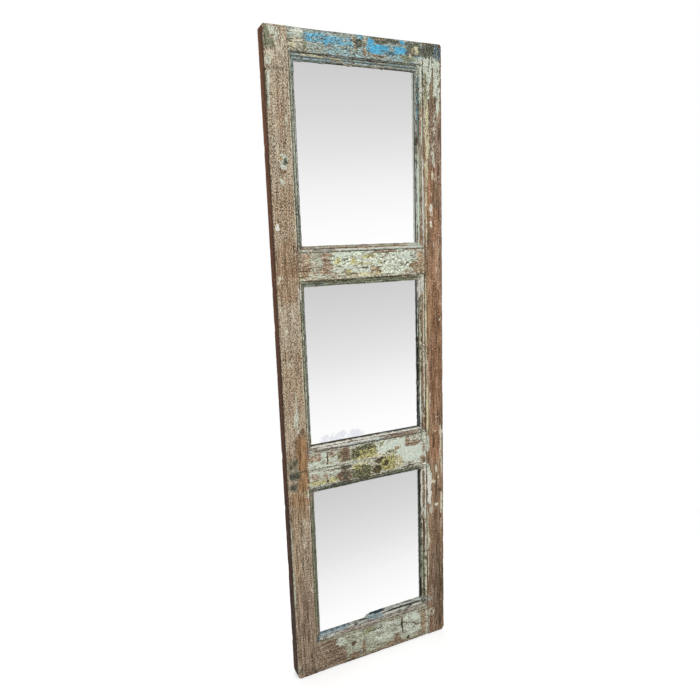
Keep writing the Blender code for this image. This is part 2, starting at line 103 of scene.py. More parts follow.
# Wear in millimetres: everywhere, along the fibres, where the grain stands open, on the outer arrises with
# their chips and nibbles, and on the moulding
SOFT_WEAR, SOFT_WAVE, FIBRE_RELIEF, OPEN_GRAIN = 0.06, 0.10, 0.16, 0.22
ARRIS_WEAR, CHIPS, NIBBLES = 0.25, 1.5, 0.5
MOULDING_WEAR, MOULDING_DENTS = 0.08, 0.35
# How far the lip against the glass waves, and how ragged its breaks are
LIP_WAVE, LIP_RAGGED = 0.35, 0.25
# Radii to which the outer corners are worn, top and bottom
CORNER_ROUNDS = {"stile_left": (3, 10), "stile_right": (6, 15)}
# The bead remnant in front of the bottom pane: from and to in u, v and d
REMNANT = ((232, 431.8), (1672, 1683.4), (13.4, 16.7))

# Quirks and fillets: where each lies across the moulding, its breadth, and how dark dirt and painted shade make
# it
GROOVES = ((0.05, 0.05, 0.95), (0.55, 0.04, 0.85), (0.86, 0.04, 0.70))
# How unevenly the mouldings have kept their coats
BROKEN_COAT = 0.42
# An amount so low that growth lies nowhere
NO_GROWTH = -0.4
# Share of the floor's white that no shadow takes away
FLOOR_GLOW = 0.45


def tone(red, green, blue):
    """A colour as it is seen on a screen, 0 to 255, as the renderer's own numbers."""
    return tuple(((c / 255 + 0.055) / 1.055) ** 2.4 if c > 10 else c / 3295 for c in (red, green, blue))


def shade(red, green, blue):
    """The same as a colour socket takes it, opaque."""
    return (*tone(red, green, blue), 1.0)


def looks(table):
    """A table of looks: on each line a name, then words, each with a number or a colour as seen on a screen."""
    read = {}
    for name, *words in map(str.split, table.strip().splitlines()):
        read[name] = {
            word: tone(*map(int, value.split(","))) if "," in value else float(value)
            for word, value in zip(words[::2], words[1::2])
        }
    return read


def rows(table):
    """A table of rows parted by semicolons: a name and numbers each. Lines that begin with # are comments."""
    lines = [line for line in table.strip().splitlines() if not line.startswith("#")]
    return [(name, *map(float, numbers)) for name, *numbers in map(str.split, " ".join(lines).split(";"))]


# What each timber is like before its patches: the share of the top coat that is left, how much of the coat
# under it is left in the pores, how rough and specked the surface is, and the colours of coats and wood
GROUNDS = looks("""
stile_left left 0.05 residue 0.52 rough 0.72 coat 222,212,190 under 214,203,178 wood 126,104,82
stile_right left 0.03 residue 0.22 rough 0.7 coat 214,206,182 under 212,202,178 wood 136,110,86
rail_top left 0.6 residue 0.66 rough 1 coat 166,178,168 under 174,182,166 wood 124,116,98
rail_upper_mid left 0.5 residue 0.5 rough 0.9 coat 210,212,190 under 206,202,180 wood 158,136,110
rail_lower_mid left 0.58 residue 0.5 rough 0.9 coat 210,214,196 under 206,206,184 wood 150,126,106
rail_bottom left 0.46 residue 0.45 rough 0.8 coat 184,190,166 under 190,188,166 wood 126,108,90
""")

# Finishes that a patch may lay on a timber. Each names only what it changes, moss and darkening among them.
# The darkening stands for dark stains, and in the finishes gap, blot and grime also for painted shade.
FINISHES = looks("""
white coat 230,228,216 left 0.86 rough 0.5 moss 0 stain 0
bright coat 214,223,207 left 0.88 residue 0.6 rough 0.3 moss 0 stain 0
mint coat 208,214,196 left 0.68 residue 0.5 rough 0.8 moss 0 stain 0
specked coat 208,214,196 left 0.66 under 150,152,124 residue 0.34 rough 1 wood 84,80,62
dull_mint coat 188,192,170 left 0.62 residue 0.5 rough 0.8
thin_mint coat 206,210,190 left 0.48 residue 0.5 rough 0.8
cream coat 216,208,182 left 0.66 residue 0.5 rough 0.8 moss 0 stain 0
thin_cream coat 212,204,180 left 0.4 residue 0.5 rough 0.8
yellow_cream coat 214,207,168 left 0.66 residue 0.5 rough 1
yellow coat 204,199,142 left 0.68 rough 1 moss 0.38
sky coat 88,174,210 left 0.8 under 150,178,182 residue 0.7 rough 0.7 stain 0
sky_streaks coat 108,176,202 left 0.6 under 172,194,192 residue 0.68
pale_streaks coat 156,190,194 left 0.56 under 172,184,172 residue 0.66
blue_grey coat 152,170,166 left 0.66
pale_blue coat 164,186,192 left 0.6 under 190,194,186 residue 0.5
teal coat 70,104,112 left 0.72 under 150,160,150
blue coat 84,140,158 left 0.7
dark_teal coat 40,66,78 left 0.72 under 120,150,162 residue 0.4 rough 1 wood 60,64,62
mauve coat 182,176,164 left 0.52 under 176,168,152 residue 0.45 wood 124,112,100 moss 0 stain 0
grey_white coat 196,200,192 left 0.7 under 150,152,144 residue 0.4 rough 0.9 wood 96,90,80 moss 0 stain 0
streaky coat 214,208,186 left 0.34 residue 0.36 rough 1 wood 120,92,74
seam stain 0.62
smooth left 0 residue 0.25 rough 0.8 wood 138,119,101
dark_blue coat 62,100,134 left 0.4 under 180,188,178 residue 0.44 rough 1 wood 84,90,84
undercoat coat 136,140,114 left 0.6 under 190,190,162 residue 0.36 rough 1 wood 82,80,62
slate coat 106,112,100 left 0.56 under 168,170,148 residue 0.34 rough 1 wood 62,62,50
flecked left 0.14 residue 0.52
sparse left 0.05 residue 0.34
brown left 0.02 residue 0.26 wood 142,116,90 moss 0 stain 0
tan left 0.06 residue 0.42 wood 164,138,106 moss 0 stain 0
rose left 0.12 residue 0.38 wood 150,124,104 moss 0 stain 0
red left 0.08 residue 0.3 rough 1.2 wood 122,96,80 moss 0 stain 0
rust left 0.04 residue 0.16 rough 0.5 wood 122,102,82 stain 0.15
orange left 0.01 residue 0.14 rough 0.4 wood 150,118,84 moss 0 stain 0
ochre coat 190,172,118 left 0.3 residue 0.4 wood 158,134,92
dark left 0.03 residue 0.12 wood 104,86,68 stain 0.3
blot left 0.05 residue 0.08 rough 0.8 wood 74,66,50 stain 0.7
moss coat 200,194,130 left 0.72 under 176,172,124 rough 1 moss 0.58
black_moss coat 168,168,128 left 0.66 under 140,142,112 residue 0.5 rough 1 moss 0.84
tar coat 100,102,88 left 0.4 residue 0.2 rough 0.7 wood 96,88,72 stain 0.42
plain_brown left 0 residue 0.26 rough 0.9 wood 132,112,92 moss 0 stain 0
red_brown left 0.02 under 206,172,144 residue 0.32 rough 1.3 wood 142,107,80 moss 0 stain 0
calm left 0.02 residue 0.38 rough 1 wood 128,108,88 moss 0 stain 0
golden left 0.01 residue 0.24 rough 0.6 wood 154,124,92 moss 0 stain 0
straw coat 216,205,160 left 0.84 under 196,184,140 residue 0.6 rough 0.8 moss 0 stain 0
putty coat 134,124,102 left 0.7 under 112,110,92 residue 0.5 rough 0.5 wood 104,92,72 moss 0 stain 0
core coat 84,86,74 left 0.6 under 96,96,82 residue 0.4 rough 0.5 wood 62,60,48 moss 0 stain 0.3
fawn left 0.04 residue 0.32 wood 156,134,108 moss 0 stain 0
peeling coat 222,221,200 left 0.66 under 168,156,128 residue 0.4 rough 1.3 wood 104,88,70 moss 0 stain 0
gap left 0 residue 0.04 rough 0.6 wood 44,40,34 stain 0.9
warm residue 0.43 wood 126,99,73
peat coat 128,112,78 left 0.6 under 120,108,80 rough 1 moss 0.86
green_specks coat 142,158,142 left 0.56 under 200,202,182 residue 0.46 rough 1 wood 72,74,60
specked_white coat 216,223,204 left 0.7 under 172,174,142 residue 0.4 rough 1.1 wood 92,88,62 moss 0 stain 0
olive coat 168,170,128 left 0.62 moss 0.52
stain left 0.08 residue 0.1 stain 0.85
green_stain left 0.12 moss 0.4 stain 0.62
grime stain 0.5
line left 0.1 residue 0.1 wood 96,90,76 stain 0.85
wall coat 182,186,172 left 0.52 under 164,164,144 residue 0.4 rough 0.8 wood 92,82,68 moss 0 stain 0.2
""")

# The lip's wall against the glass, and where it is darker or paler
WALL = FINISHES["wall"]
DARK_WALL = {**WALL, "left": 0.1, "residue": 0.1, "stain": 0.8}
PALE_WALL = {**WALL, "left": 0.84, "rough": 0.5, "stain": 0}
PALE_WALL_FOOT = 550

# Wood that was never painted: the frame's outer sides from top to foot, and the back with an old thin coat
SIDE_TOP_WOOD, SIDE_FOOT_WOOD = np.array(tone(118, 77, 50)), np.array(tone(64, 37, 26))
UNPAINTED = {"left": 0, "moss": 0, "stain": 0.1, "residue": 0.05, "rough": 0.4}
BACK_COAT = tone(150, 156, 134)
BACK_LOOK = {**UNPAINTED, "wood": tone(132, 112, 88), "coat": BACK_COAT, "under": BACK_COAT}

# Panes: how wide the painted reflection of the lip's wall is along the right edge, its colour there, and how wide
# the line of dirt and painted shade lies
PANES = {
    "top": (7.4, (164, 170, 158), 1.9),
    "middle": (5.4, (76, 80, 78), 2.8),
    "bottom": (6.0, (88, 88, 84), 2.8),
}
# A pane's painted reflection: its grey from its foot to its top, by share of its height, as a screen shows it
REFLECTED_GREYS = ((0.0, 254), (0.10, 252), (0.30, 244), (0.52, 229), (0.75, 216), (0.97, 205))

# Patches: finish, middle in u and v, width, height, and optionally a lean in degrees. Later ones lie on top.
# bottom rail, with grime and painted shade along its lowest edge
# mouldings round the bottom pane, with painted shade on the lip's wall at the right
# mouldings round the middle pane, with blots of painted shade under the rail above, painted shade on the lip's
# wall at the right, and a dark line along the foot
# mouldings round the top pane, with blots of painted shade under the rail's face
# the outermost arris darkened, and painted shade along the lowest arris
# what is left of the bead in front of the bottom pane, with a painted shadow under it
PATCHES = rows("""
# left stile, down to the upper mid rail
thin_cream 46 60 30 84; thin_mint 26 16 40 30; mint 22 12 18 16; mint 32 28 10 20 20; undercoat 7 18 13 28;
undercoat 15 44 30 22; cream 34 44 10 16 -30; cream 14 70 24 30; mint 9 84 14 20; grime 38 101 46 9;
mint 8 128 8 48 4; mint 6 172 7 52; undercoat 1.5 152 5 92; thin_cream 12 212 14 14; thin_cream 20 276 26 30;
thin_mint 44 232 9 8; mint 37 318 26 32; mint 34 336 20 12; ochre 30 314 8 10; slate 41 323 12 16;
rust 33 348 15 11; golden 31 205 2.4 170; golden 37 235 2.2 120; golden 43 215 2.2 130;
thin_cream 49 222 10 56; mint 31 373 12 14; rust 52 386 10 14; warm 33 440 60 130; warm 33 860 60 160;
white 10 487 9 20; brown 32 600 62 170; sparse 32 560 62 60; sparse 32 645 60 60; cream 9 622 10 24 20;
grime 55 546 22 3;
# left stile, down to the lower mid rail
mint 62 655 7 40; thin_mint 60 705 8 60; thin_cream 5 720 8 80; cream 41 716 8 34 -18; cream 24 764 26 16 30;
thin_cream 45 750 10 14; flecked 33 790 58 60; thin_cream 26 848 22 26; warm 33 970 60 140;
flecked 33 1016 58 60; thin_mint 37 960 7 60 4; mint 35 1004 15 50 6; mint 40 1042 9 14; rust 50 1056 14 40;
orange 45 1110 36 112; rust 34 1066 26 5 -30; rose 12 1095 26 16 -15; cream 16 1107 18 8 -25;
sparse 20 1130 34 60; orange 47 1200 34 80; putty 17 1134 30 32; core 26 1128 10 20 8; core 12 1140 9 12;
putty 20 1167 34 28; core 25 1168 22 18; core 10 1166 8 18; putty 16 1201 26 26; core 16 1202 14 15;
line 44 1158.5 30 2.4;
# left stile, below the lower mid rail
golden 34 1240 58 60; ochre 50 1226 14 20; mint 60 1226 8 30; brown 30 1292 60 50; calm 30 1410 60 210;
fawn 17 1420 24 310; thin_cream 48 1312 14 34 -14; thin_cream 40 1366 14 40 -14; cream 39 1384 6 12 -14;
thin_cream 22 1404 8 10; dull_mint 2.6 1470 4.6 320; smooth 33 1660 60 310; cream 54 1520 4 40 -8;
grime 30 1788 60 24; grime 17 1778 32 44; thin_mint 4 1766 9 26; stain 57 1796 12 10;
# top rail
mint 86 10 38 14; white 90 9 18 8; thin_cream 86 40 52 34; undercoat 108 42 12 20; yellow_cream 72 44 20 22;
blue_grey 140 8 60 9; grime 190 3 150 6; sky_streaks 142 20 62 20; sky_streaks 122 22 20 12; sky 166 29 12 14;
sky_streaks 205 24 84 24; pale_streaks 204 40 70 16; pale_streaks 215 50 118 10; warm 172 38 4 24;
tan 244 20 6 36 -10; slate 252 26 6 34; sky_streaks 262 8 15 12; slate 261 22 16 20;
pale_streaks 262 44 22 20; brown 276 34 9 34; cream 277 10 6 18; slate 334 9 98 13; tan 316 7 44 4;
sky 293 16 16 16; sky_streaks 340 30 128 20; sky 316 32 62 22; blue_grey 356 26 18 18; teal 356 40 22 12;
sky 384 28 36 18; sky 388 7 13 10; rust 314 48 46 4; pale_streaks 375 48 60 10; slate 424 24 52 44;
undercoat 408 46 50 12; cream 412 38 7 9; cream 420 7 5 5; yellow_cream 431 24 12 22; tan 418 24 4 20;
pale_streaks 440 41 36 5; pale_blue 255 56.5 360 2.2;
# right stile, down to the upper mid rail
specked 480 96 58 150; slate 478 20 62 40; dark_blue 498 22 24 38; streaky 490 250 44 190; olive 459 92 10 34;
grime 465 103 9 12; rose 483 92 5 44 2; rose 479 132 14 60; red 476 205 16 120; specked 498 140 16 60;
mint 498 162 13 52; red 491 170 5 60; dark 504 250 8 90; mint 488 194 6 34; cream 485 224 14 5;
thin_cream 487 275 12 26; thin_cream 457 170 12 150; olive 462 130 5 70; yellow_cream 464 232 14 150;
green_stain 457 215 4 40; yellow_cream 459.6 430 7 260; red_brown 484 450 44 250; rust 493 400 24 90;
dark 498 470 4 150; dark 468 500 3 90; dark 489 545 3 60; streaky 484 290 12 60; red 497 310 20 130;
dark 500 330 3 90; yellow_cream 461 340 10 64; red 506 420 8 200; mint 485 312 6 34 -10;
cream 481 353 10 26 -6; streaky 492 356 7 50 6; cream 477 404 5 10; cream 475 446 13 42 -4;
white 474 440 7 24 -4; cream 472 470 6 10; cream 475 487 10 20 -6; rust 468 520 14 46; white 474 482 8 10 -6;
red 474 470 5 14; thin_cream 501 525 7 40; cream 484 545 9 14; rose 494 560 18 50; rust 478 560 6 44;
# right stile, plain middle
red_brown 484 820 46 520; flecked 494 622 16 110; golden 466 750 12 200; streaky 474 800 3 300;
streaky 487 960 3 260; orange 476 740 6 90; cream 508 719 6 9; cream 502 767 5 6; cream 493 618 5 20;
yellow_cream 453.4 760 5 250; thin_cream 458 960 8 160; straw 456.6 1040 8 150; thin_cream 463 1010 10 60;
dark 472 850 2 260; dark 491 760 2 220; dark 499 900 2 240; dark 480 1050 2 120; orange 478 930 5 150;
orange 495 860 4 180; red 486 800 4 160; cream 490 1068 12 4;
# right stile, at the lower mid rail
red_brown 482 1150 34 120; dark 478 1140 8 50; white 483 1113 12 4; cream 502 1150 9 110; mint 456 1148 12 50;
stain 498 1152 5 6; mint 460 1244 16 66 -12; white 461 1300 14 100; cream 474 1276 20 12 20;
cream 486 1238 8 30 -6; cream 492 1262 6 16; cream 505 1230 6 60; cream 505 1350 9 84; stain 500 1308 13 13;
thin_mint 465 1366 14 36; white 486 1357 9 12; dark 486 1300 6 70;
# right stile, foot
yellow_cream 454 1440 4 130; cream 457 1470 9 36; thin_cream 503 1420 6 30; rust 486 1640 46 310;
red 467 1630 12 240; dark 496 1660 8 240; cream 454 1560 3.5 110; cream 454 1672 4 36;
thin_mint 463 1726 22 26; stain 466 1725 7 8; thin_mint 452 1770 8 50;
# upper mid rail
fawn 80 586 36 66; cream 80 622 36 8; dull_mint 116 580 44 42; rose 143 585 38 60; dull_mint 124 582 18 24;
thin_mint 126 619 56 14; specked_white 236 578 156 48; yellow_cream 250 592 60 14; yellow_cream 188 600 40 12;
bright 190 562 60 14; mint 238 606 160 28; yellow 176 580 18 18 -30; yellow 222 580 14 20;
yellow 270 570 42 9; yellow 306 588 10 7; yellow 208 612 22 16; yellow_cream 258 618 110 8;
ochre 298 610 18 16; tan 283 603 16 18; line 165 564.5 9 2.6; line 196 574 8 2.4; line 180 594 14 2.4;
line 258 601 26 2.6; line 301 601 22 2.6; line 224 616 20 2.4; blot 305 613 8 5; specked_white 368 585 96 56;
specked_white 352 614 60 16; line 318 587 3 10; blot 400 580 5 6; line 414 578 12 2.4 30; blot 392 592 5 4;
rose 326 556 68 5; bright 392 572 44 18; specked 416 578 22 30; tan 438 582 24 44; fawn 428 601 46 20;
tan 432 618 36 12; cream 190 626.5 250 2.4;
# lower mid rail
rose 84 1127 42 28; bright 112 1122 18 14; rose 134 1124 20 20; mint 92 1146 56 22; mint 142 1145 34 26;
olive 158 1134 9 32; mint 108 1178 90 24; rose 81 1184 20 20; rose 115 1186 8 18; yellow 108 1201 88 13;
yellow 146 1200 34 12; blot 120 1201 7 6; rust 178 1132 32 40; dark 177 1137 16 24;
yellow_cream 245 1153 96 11; moss 240 1136 82 36; black_moss 240 1121 58 16; black_moss 207 1138 28 28;
yellow 244 1147 24 9; bright 312 1132 62 34; olive 296 1122 14 16; bright 350 1128 56 26;
line 320 1148 14 4 40; olive 332 1149 36 12; ochre 348 1143 14 9; bright 394 1166 96 50; rose 402 1137 52 19;
rose 385 1122 12 18; mint 420 1120 40 14; yellow_cream 228 1171 60 9; tar 180 1170 38 13; rust 174 1196 42 34;
tar 178 1193 22 24; black_moss 230 1190 70 30; moss 215 1180 26 12; black_moss 228 1206 72 13;
moss 318 1184 58 46; yellow 336 1190 18 28; peat 280 1197 28 26; peat 288 1170 30 16; peat 311 1182 14 15;
yellow_cream 354 1186 28 38; line 384 1207 52 3 -6; rose 438 1194 14 26; rose 440 1160 8 30;
seam 112 1160 96 4; grime 226 1162 132 4 1; line 140 1170 50 2.4 2; line 121.5 1132 2.6 38;
grime 250 1211 380 7;
# bottom rail
plain_brown 98 1756 72 100; plain_brown 140 1774 36 60; thin_cream 80 1722 13 9; mint 145 1725 34 28;
thin_cream 145 1742 17 8; dull_mint 188 1742 56 70; rust 183 1745 14 12; brown 186 1786 34 16;
cream 212 1734 3 34; brown 218 1772 9 40; dull_mint 282 1742 124 76; mint 286 1722 104 26;
olive 240 1720 40 15; line 262 1722 46 2.4 -4; mint 290 1758 70 26; plain_brown 336 1776 22 26;
plain_brown 326 1792 60 20; mint 380 1746 92 80; bright 400 1722 30 14; line 353 1730 6 34;
line 355.5 1752 4 26; green_stain 384 1738 58 5 20; green_stain 404 1750 22 5 30; line 396 1759 10 3;
blot 376 1789 9 9; tan 433 1752 18 80; cream 444 1750 3 90; plain_brown 255 1800 390 9; grime 255 1802 390 5;
# seams between stiles and rails
seam 61.5 30 3 52; seam 62 591 3 66; seam 62 1185 3 50; seam 451 1160 3 90;
# mouldings round the top pane
blue_grey 255 67 380 18; yellow_cream 132 63 74 4; yellow_cream 190 65 26 3; blot 305 62 270 2.6;
blot 120 60 100 2; pale_blue 190 69.5 230 4; cream 300 73 220 3.5; green_specks 71 310 18 480;
dull_mint 69 270 6 380; grey_white 76 280 4 360; blue_grey 75 96 9 46; cream 60.4 330 3.4 460;
grey_white 79.4 330 3 420; specked 441 110 21 130; grey_white 434 300 5 470; slate 449 90 4 70;
dull_mint 442 330 16 330; mint 446 120 7 150; teal 439 165 5 170; blue 439 205 3 70; rose 443.5 172 5 18;
rose 443.5 216 4 60; mint 448 215 3.4 110; bright 438.4 425 6 250; rose 444.8 400 3.2 290;
white 449.6 430 4.8 260; green_stain 435 258 8 18; thin_mint 255 545 380 18; rose 255 543 340 3;
white 255 548 330 3; mauve 140 547 60 8; blue_grey 255 552 370 2.4; bright 420 543 46 14;
# mouldings round the middle pane
undercoat 255 637 380 18; blot 150 631.4 170 2.6; blot 330 630.6 160 2; dull_mint 250 638 330 3;
blue_grey 110 641 60 5; dull_mint 290 641 60 6; rose 390 633 44 5; undercoat 71 860 16 440;
green_specks 75 860 6 420; cream 60.6 880 3.4 380; thin_mint 68 900 5 300; white 64 655 6 44;
grey_white 79 860 4 440; peeling 441 860 21 440; grey_white 434 730 4 160; gap 434 905 2.7 190;
dark_teal 434 1070 2.7 150; dark_teal 434.6 1060 4.6 60; peeling 438.6 860 4.4 420; white 441 664 14 56;
rose 444 760 3.6 180; cream 438.5 760 4 160; cream 448 830 3.6 380; rose 443.6 950 4 170;
undercoat 436 900 3 260; white 438 1010 4 140; mauve 255 1103 380 13; gap 185 1091.6 240 3.2;
dark_teal 375 1091.6 140 3.2; white 255 1096.6 380 5; rose 360 1103 120 4; white 200 1102 220 3;
pale_blue 240 1106 110 3.4; blue_grey 255 1108.4 370 2.4;
# mouldings round the bottom pane
slate 255 1223 380 17; undercoat 300 1219 200 5; undercoat 71 1450 16 450; cream 60.6 1300 3.2 180;
grey_white 79 1450 4 440; peeling 441 1450 21 470; gap 434 1300 3.6 130; slate 434 1470 3.6 260;
gap 434 1640 3.6 80; white 448 1300 4.6 160; peeling 443 1330 8 220; white 438 1310 4.6 150;
rose 443.5 1300 3.4 130; rust 443 1440 4 90; undercoat 440 1590 7 190; cream 448 1600 3 180;
mauve 255 1692 380 18; grey_white 250 1689 340 7; white 330 1687 180 3; pale_blue 110 1688 70 8;
grey_white 96 1694 44 8; pale_blue 145 1686 50 8; pale_blue 262 1687 56 9; teal 68 1690 8 22;
# what is left of the bead in front of the bottom pane
grey_white 335 1676 260 20; dark_teal 263 1671 64 15; pale_blue 262 1683 50 7; gap 372 1682.8 130 4.6;
# the outermost and the lowest arris
dark 511.4 1000 3.6 1560; gap 258 1802.6 520 5
""")

# Nail holes in the face: u, v, diameter and depth
NAIL_HOLES = rows("""
hole 41 322 4.6 9; hole 501 1308 4.4 10; hole 467 1726 3.4 8; hole 374 1787 3.2 8; hole 305 613 2.2 5;
hole 120 1200 2.4 5; hole 498 1152 2.2 6
""")

# Cracks along or across the face: the points they pass through in u and v, width and depth
CRACKS = (
    (((40, 1158.5), (66, 1159.5), (110, 1158.6), (170, 1160.5), (230, 1159.4), (292, 1161.5)), 1.1, 6),
    (((121, 1113), (120.4, 1126), (122.4, 1138), (121.6, 1151)), 0.9, 4),
    (((351, 1713), (352.4, 1728), (351.2, 1745), (353, 1764)), 0.8, 4),
    (((46, 545.6), (56, 546.4), (61, 546)), 0.8, 3),
    (((478, 545), (477.4, 580), (478.6, 618)), 0.9, 4),
    (((484, 700), (483.2, 780), (484.6, 860), (483.8, 930)), 0.8, 3.5),
    (((497, 690), (496.2, 740), (497.4, 800)), 0.7, 3),
    (((487, 1430), (486.4, 1500), (487.6, 1560)), 0.8, 3),
    (((52, 1530), (53, 1570), (51.8, 1612)), 0.7, 3),
)

# Where the lip against the glass has broken off or worn back: timber, which way its lip points (1 for growing
# u or v), from and to along it, and how much is gone
LIP_BREAKS = rows("""
rail_bottom -1 80 240 2.4; rail_top 1 104 150 1.4; rail_top 1 166 232 2.2; rail_top 1 240 330 1.8;
rail_top 1 338 424 2.4; rail_upper_mid -1 372 392 1.2; rail_upper_mid 1 150 210 1.3;
rail_lower_mid 1 200 320 1.2; stile_right -1 1225 1246 1.6; stile_left 1 104 170 1.4;
stile_left 1 700 760 1.2
""")


def lattice(i, j, seed):
    """A steady random number from 0 to 1 for each whole-numbered place."""
    return np.modf(np.abs(np.sin(i * 12.9898 + j * 78.233 + seed * 37.719)) * 43758.5453)[0]


def drift(a, b, size_a, size_b, seed):
    """Smooth random waves from -1 to 1, size_a long in a and size_b long in b."""
    x, y = a / size_a, b / size_b
    i, j = np.floor(x), np.floor(y)
    s, t = x - i, y - j
    s, t = s * s * (3 - 2 * s), t * t * (3 - 2 * t)
    low = lattice(i, j, seed) * (1 - s) + lattice(i + 1, j, seed) * s
    high = lattice(i, j + 1, seed) * (1 - s) + lattice(i + 1, j + 1, seed) * s
    return (low * (1 - t) + high * t) * 2 - 1


def ramp(value, start, end):
    """0 before start, 1 after end, eased between; start may be the larger."""
    share = np.clip((value - start) / (end - start), 0, 1)
    return share * share * (3 - 2 * share)


def places(coords):
    """u, v and d of points, in millimetres."""
    return (coords[:, 0] - LOWEST.x) / MM, (HIGHEST.z - coords[:, 2]) / MM, (coords[:, 1] - FRONT) / MM


def at(u, v, d):
    """The point at u, v and d."""
    return Vector((LOWEST.x + u * MM, FRONT + d * MM, HIGHEST.z - v * MM))


def rail_face(v):
    """From where to where in v the face of the rail goes that points at v belong to."""
    return min(RAIL_FACES, key=lambda face: abs(sum(face) / 2 - v.mean()))


def read_points(layer, field="co"):
    values = np.empty(len(layer) * 3, np.float32)
    layer.foreach_get(field, values)
    return values.reshape(-1, 3).astype(float)


def move_points(mesh, coords):
    mesh.vertices.foreach_set("co", coords.astype(np.float32).ravel())
    mesh.update()


def as_mesh(bm, name):
    mesh = bpy.data.meshes.new(name)
    bm.to_mesh(mesh)
    bm.free()
    return mesh


def new_object(name, mesh):
    made = bpy.data.objects.new(name, mesh)
    bpy.context.scene.collection.objects.link(made)
    return made


def points_among(geom):
    return [g for g in geom if isinstance(g, bmesh.types.BMVert)]


def smooth(mesh):
    mesh.shade_smooth()
    mesh.set_sharp_from_angle(angle=SHARP_ANGLE)


def merged_copy(name):
    """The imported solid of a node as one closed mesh."""
    bm = bmesh.new()
    bm.from_mesh(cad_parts[name].data)
    bmesh.ops.remove_doubles(bm, verts=bm.verts, dist=WELD)
    return bm


def is_straight(vert):
    """Whether a point lies on a straight line between two others."""
    if len(vert.link_edges) != 2:
        return False
    before, after = (edge.other_vert(vert).co for edge in vert.link_edges)
    return (before - vert.co).angle(vert.co - after) < STRAIGHT


def section_ring(timber, grain, cut_at):
    """The outline of a timber's section as a ring of short edges."""
    bm = merged_copy(timber)
    everything = bm.verts[:] + bm.edges[:] + bm.faces[:]
    plane = {"plane_co": cut_at, "plane_no": grain, "clear_inner": True, "clear_outer": True}
    bmesh.ops.bisect_plane(bm, geom=everything, dist=WELD, **plane)
    bmesh.ops.remove_doubles(bm, verts=bm.verts, dist=WELD)
    bmesh.ops.dissolve_verts(bm, verts=[vert for vert in bm.verts if is_straight(vert)])
    deepest_fine = FRONT + STICKING_DEPTH * MM * 1.05
    for edge in bm.edges[:]:
        middle = (edge.verts[0].co + edge.verts[1].co) / 2
        cuts = ceil(edge.calc_length() / (FACE_SPACING if middle.y < deepest_fine else BACK_SPACING)) - 1
        if cuts > 0:
            bmesh.ops.subdivide_edges(bm, edges=[edge], cuts=cuts)
    return bm


def drawn_out(timber, grain, cut_at):
    """A timber's section drawn out along its grain, closed, and as fine lengthwise as its wear needs."""
    bm = section_ring(timber, grain, cut_at)
    low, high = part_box(timber)
    start = low.dot(grain) - OVERRUN
    length = high.dot(grain) + OVERRUN - start
    bmesh.ops.translate(bm, verts=bm.verts, vec=grain * (start - cut_at.dot(grain)))
    drawn = bmesh.ops.extrude_edge_only(bm, edges=bm.edges[:])["geom"]
    bmesh.ops.translate(bm, verts=points_among(drawn), vec=grain * length)
    lengthwise = [edge for edge in bm.edges if edge.calc_length() > length / 2]
    bmesh.ops.subdivide_edges(bm, edges=lengthwise, cuts=ceil(length / LENGTH_SPACING) - 1, use_grid_fill=True)
    bmesh.ops.holes_fill(bm, edges=[edge for edge in bm.edges if edge.is_boundary])
    bmesh.ops.recalc_face_normals(bm, faces=bm.faces)
    return as_mesh(bm, "worn_" + timber)


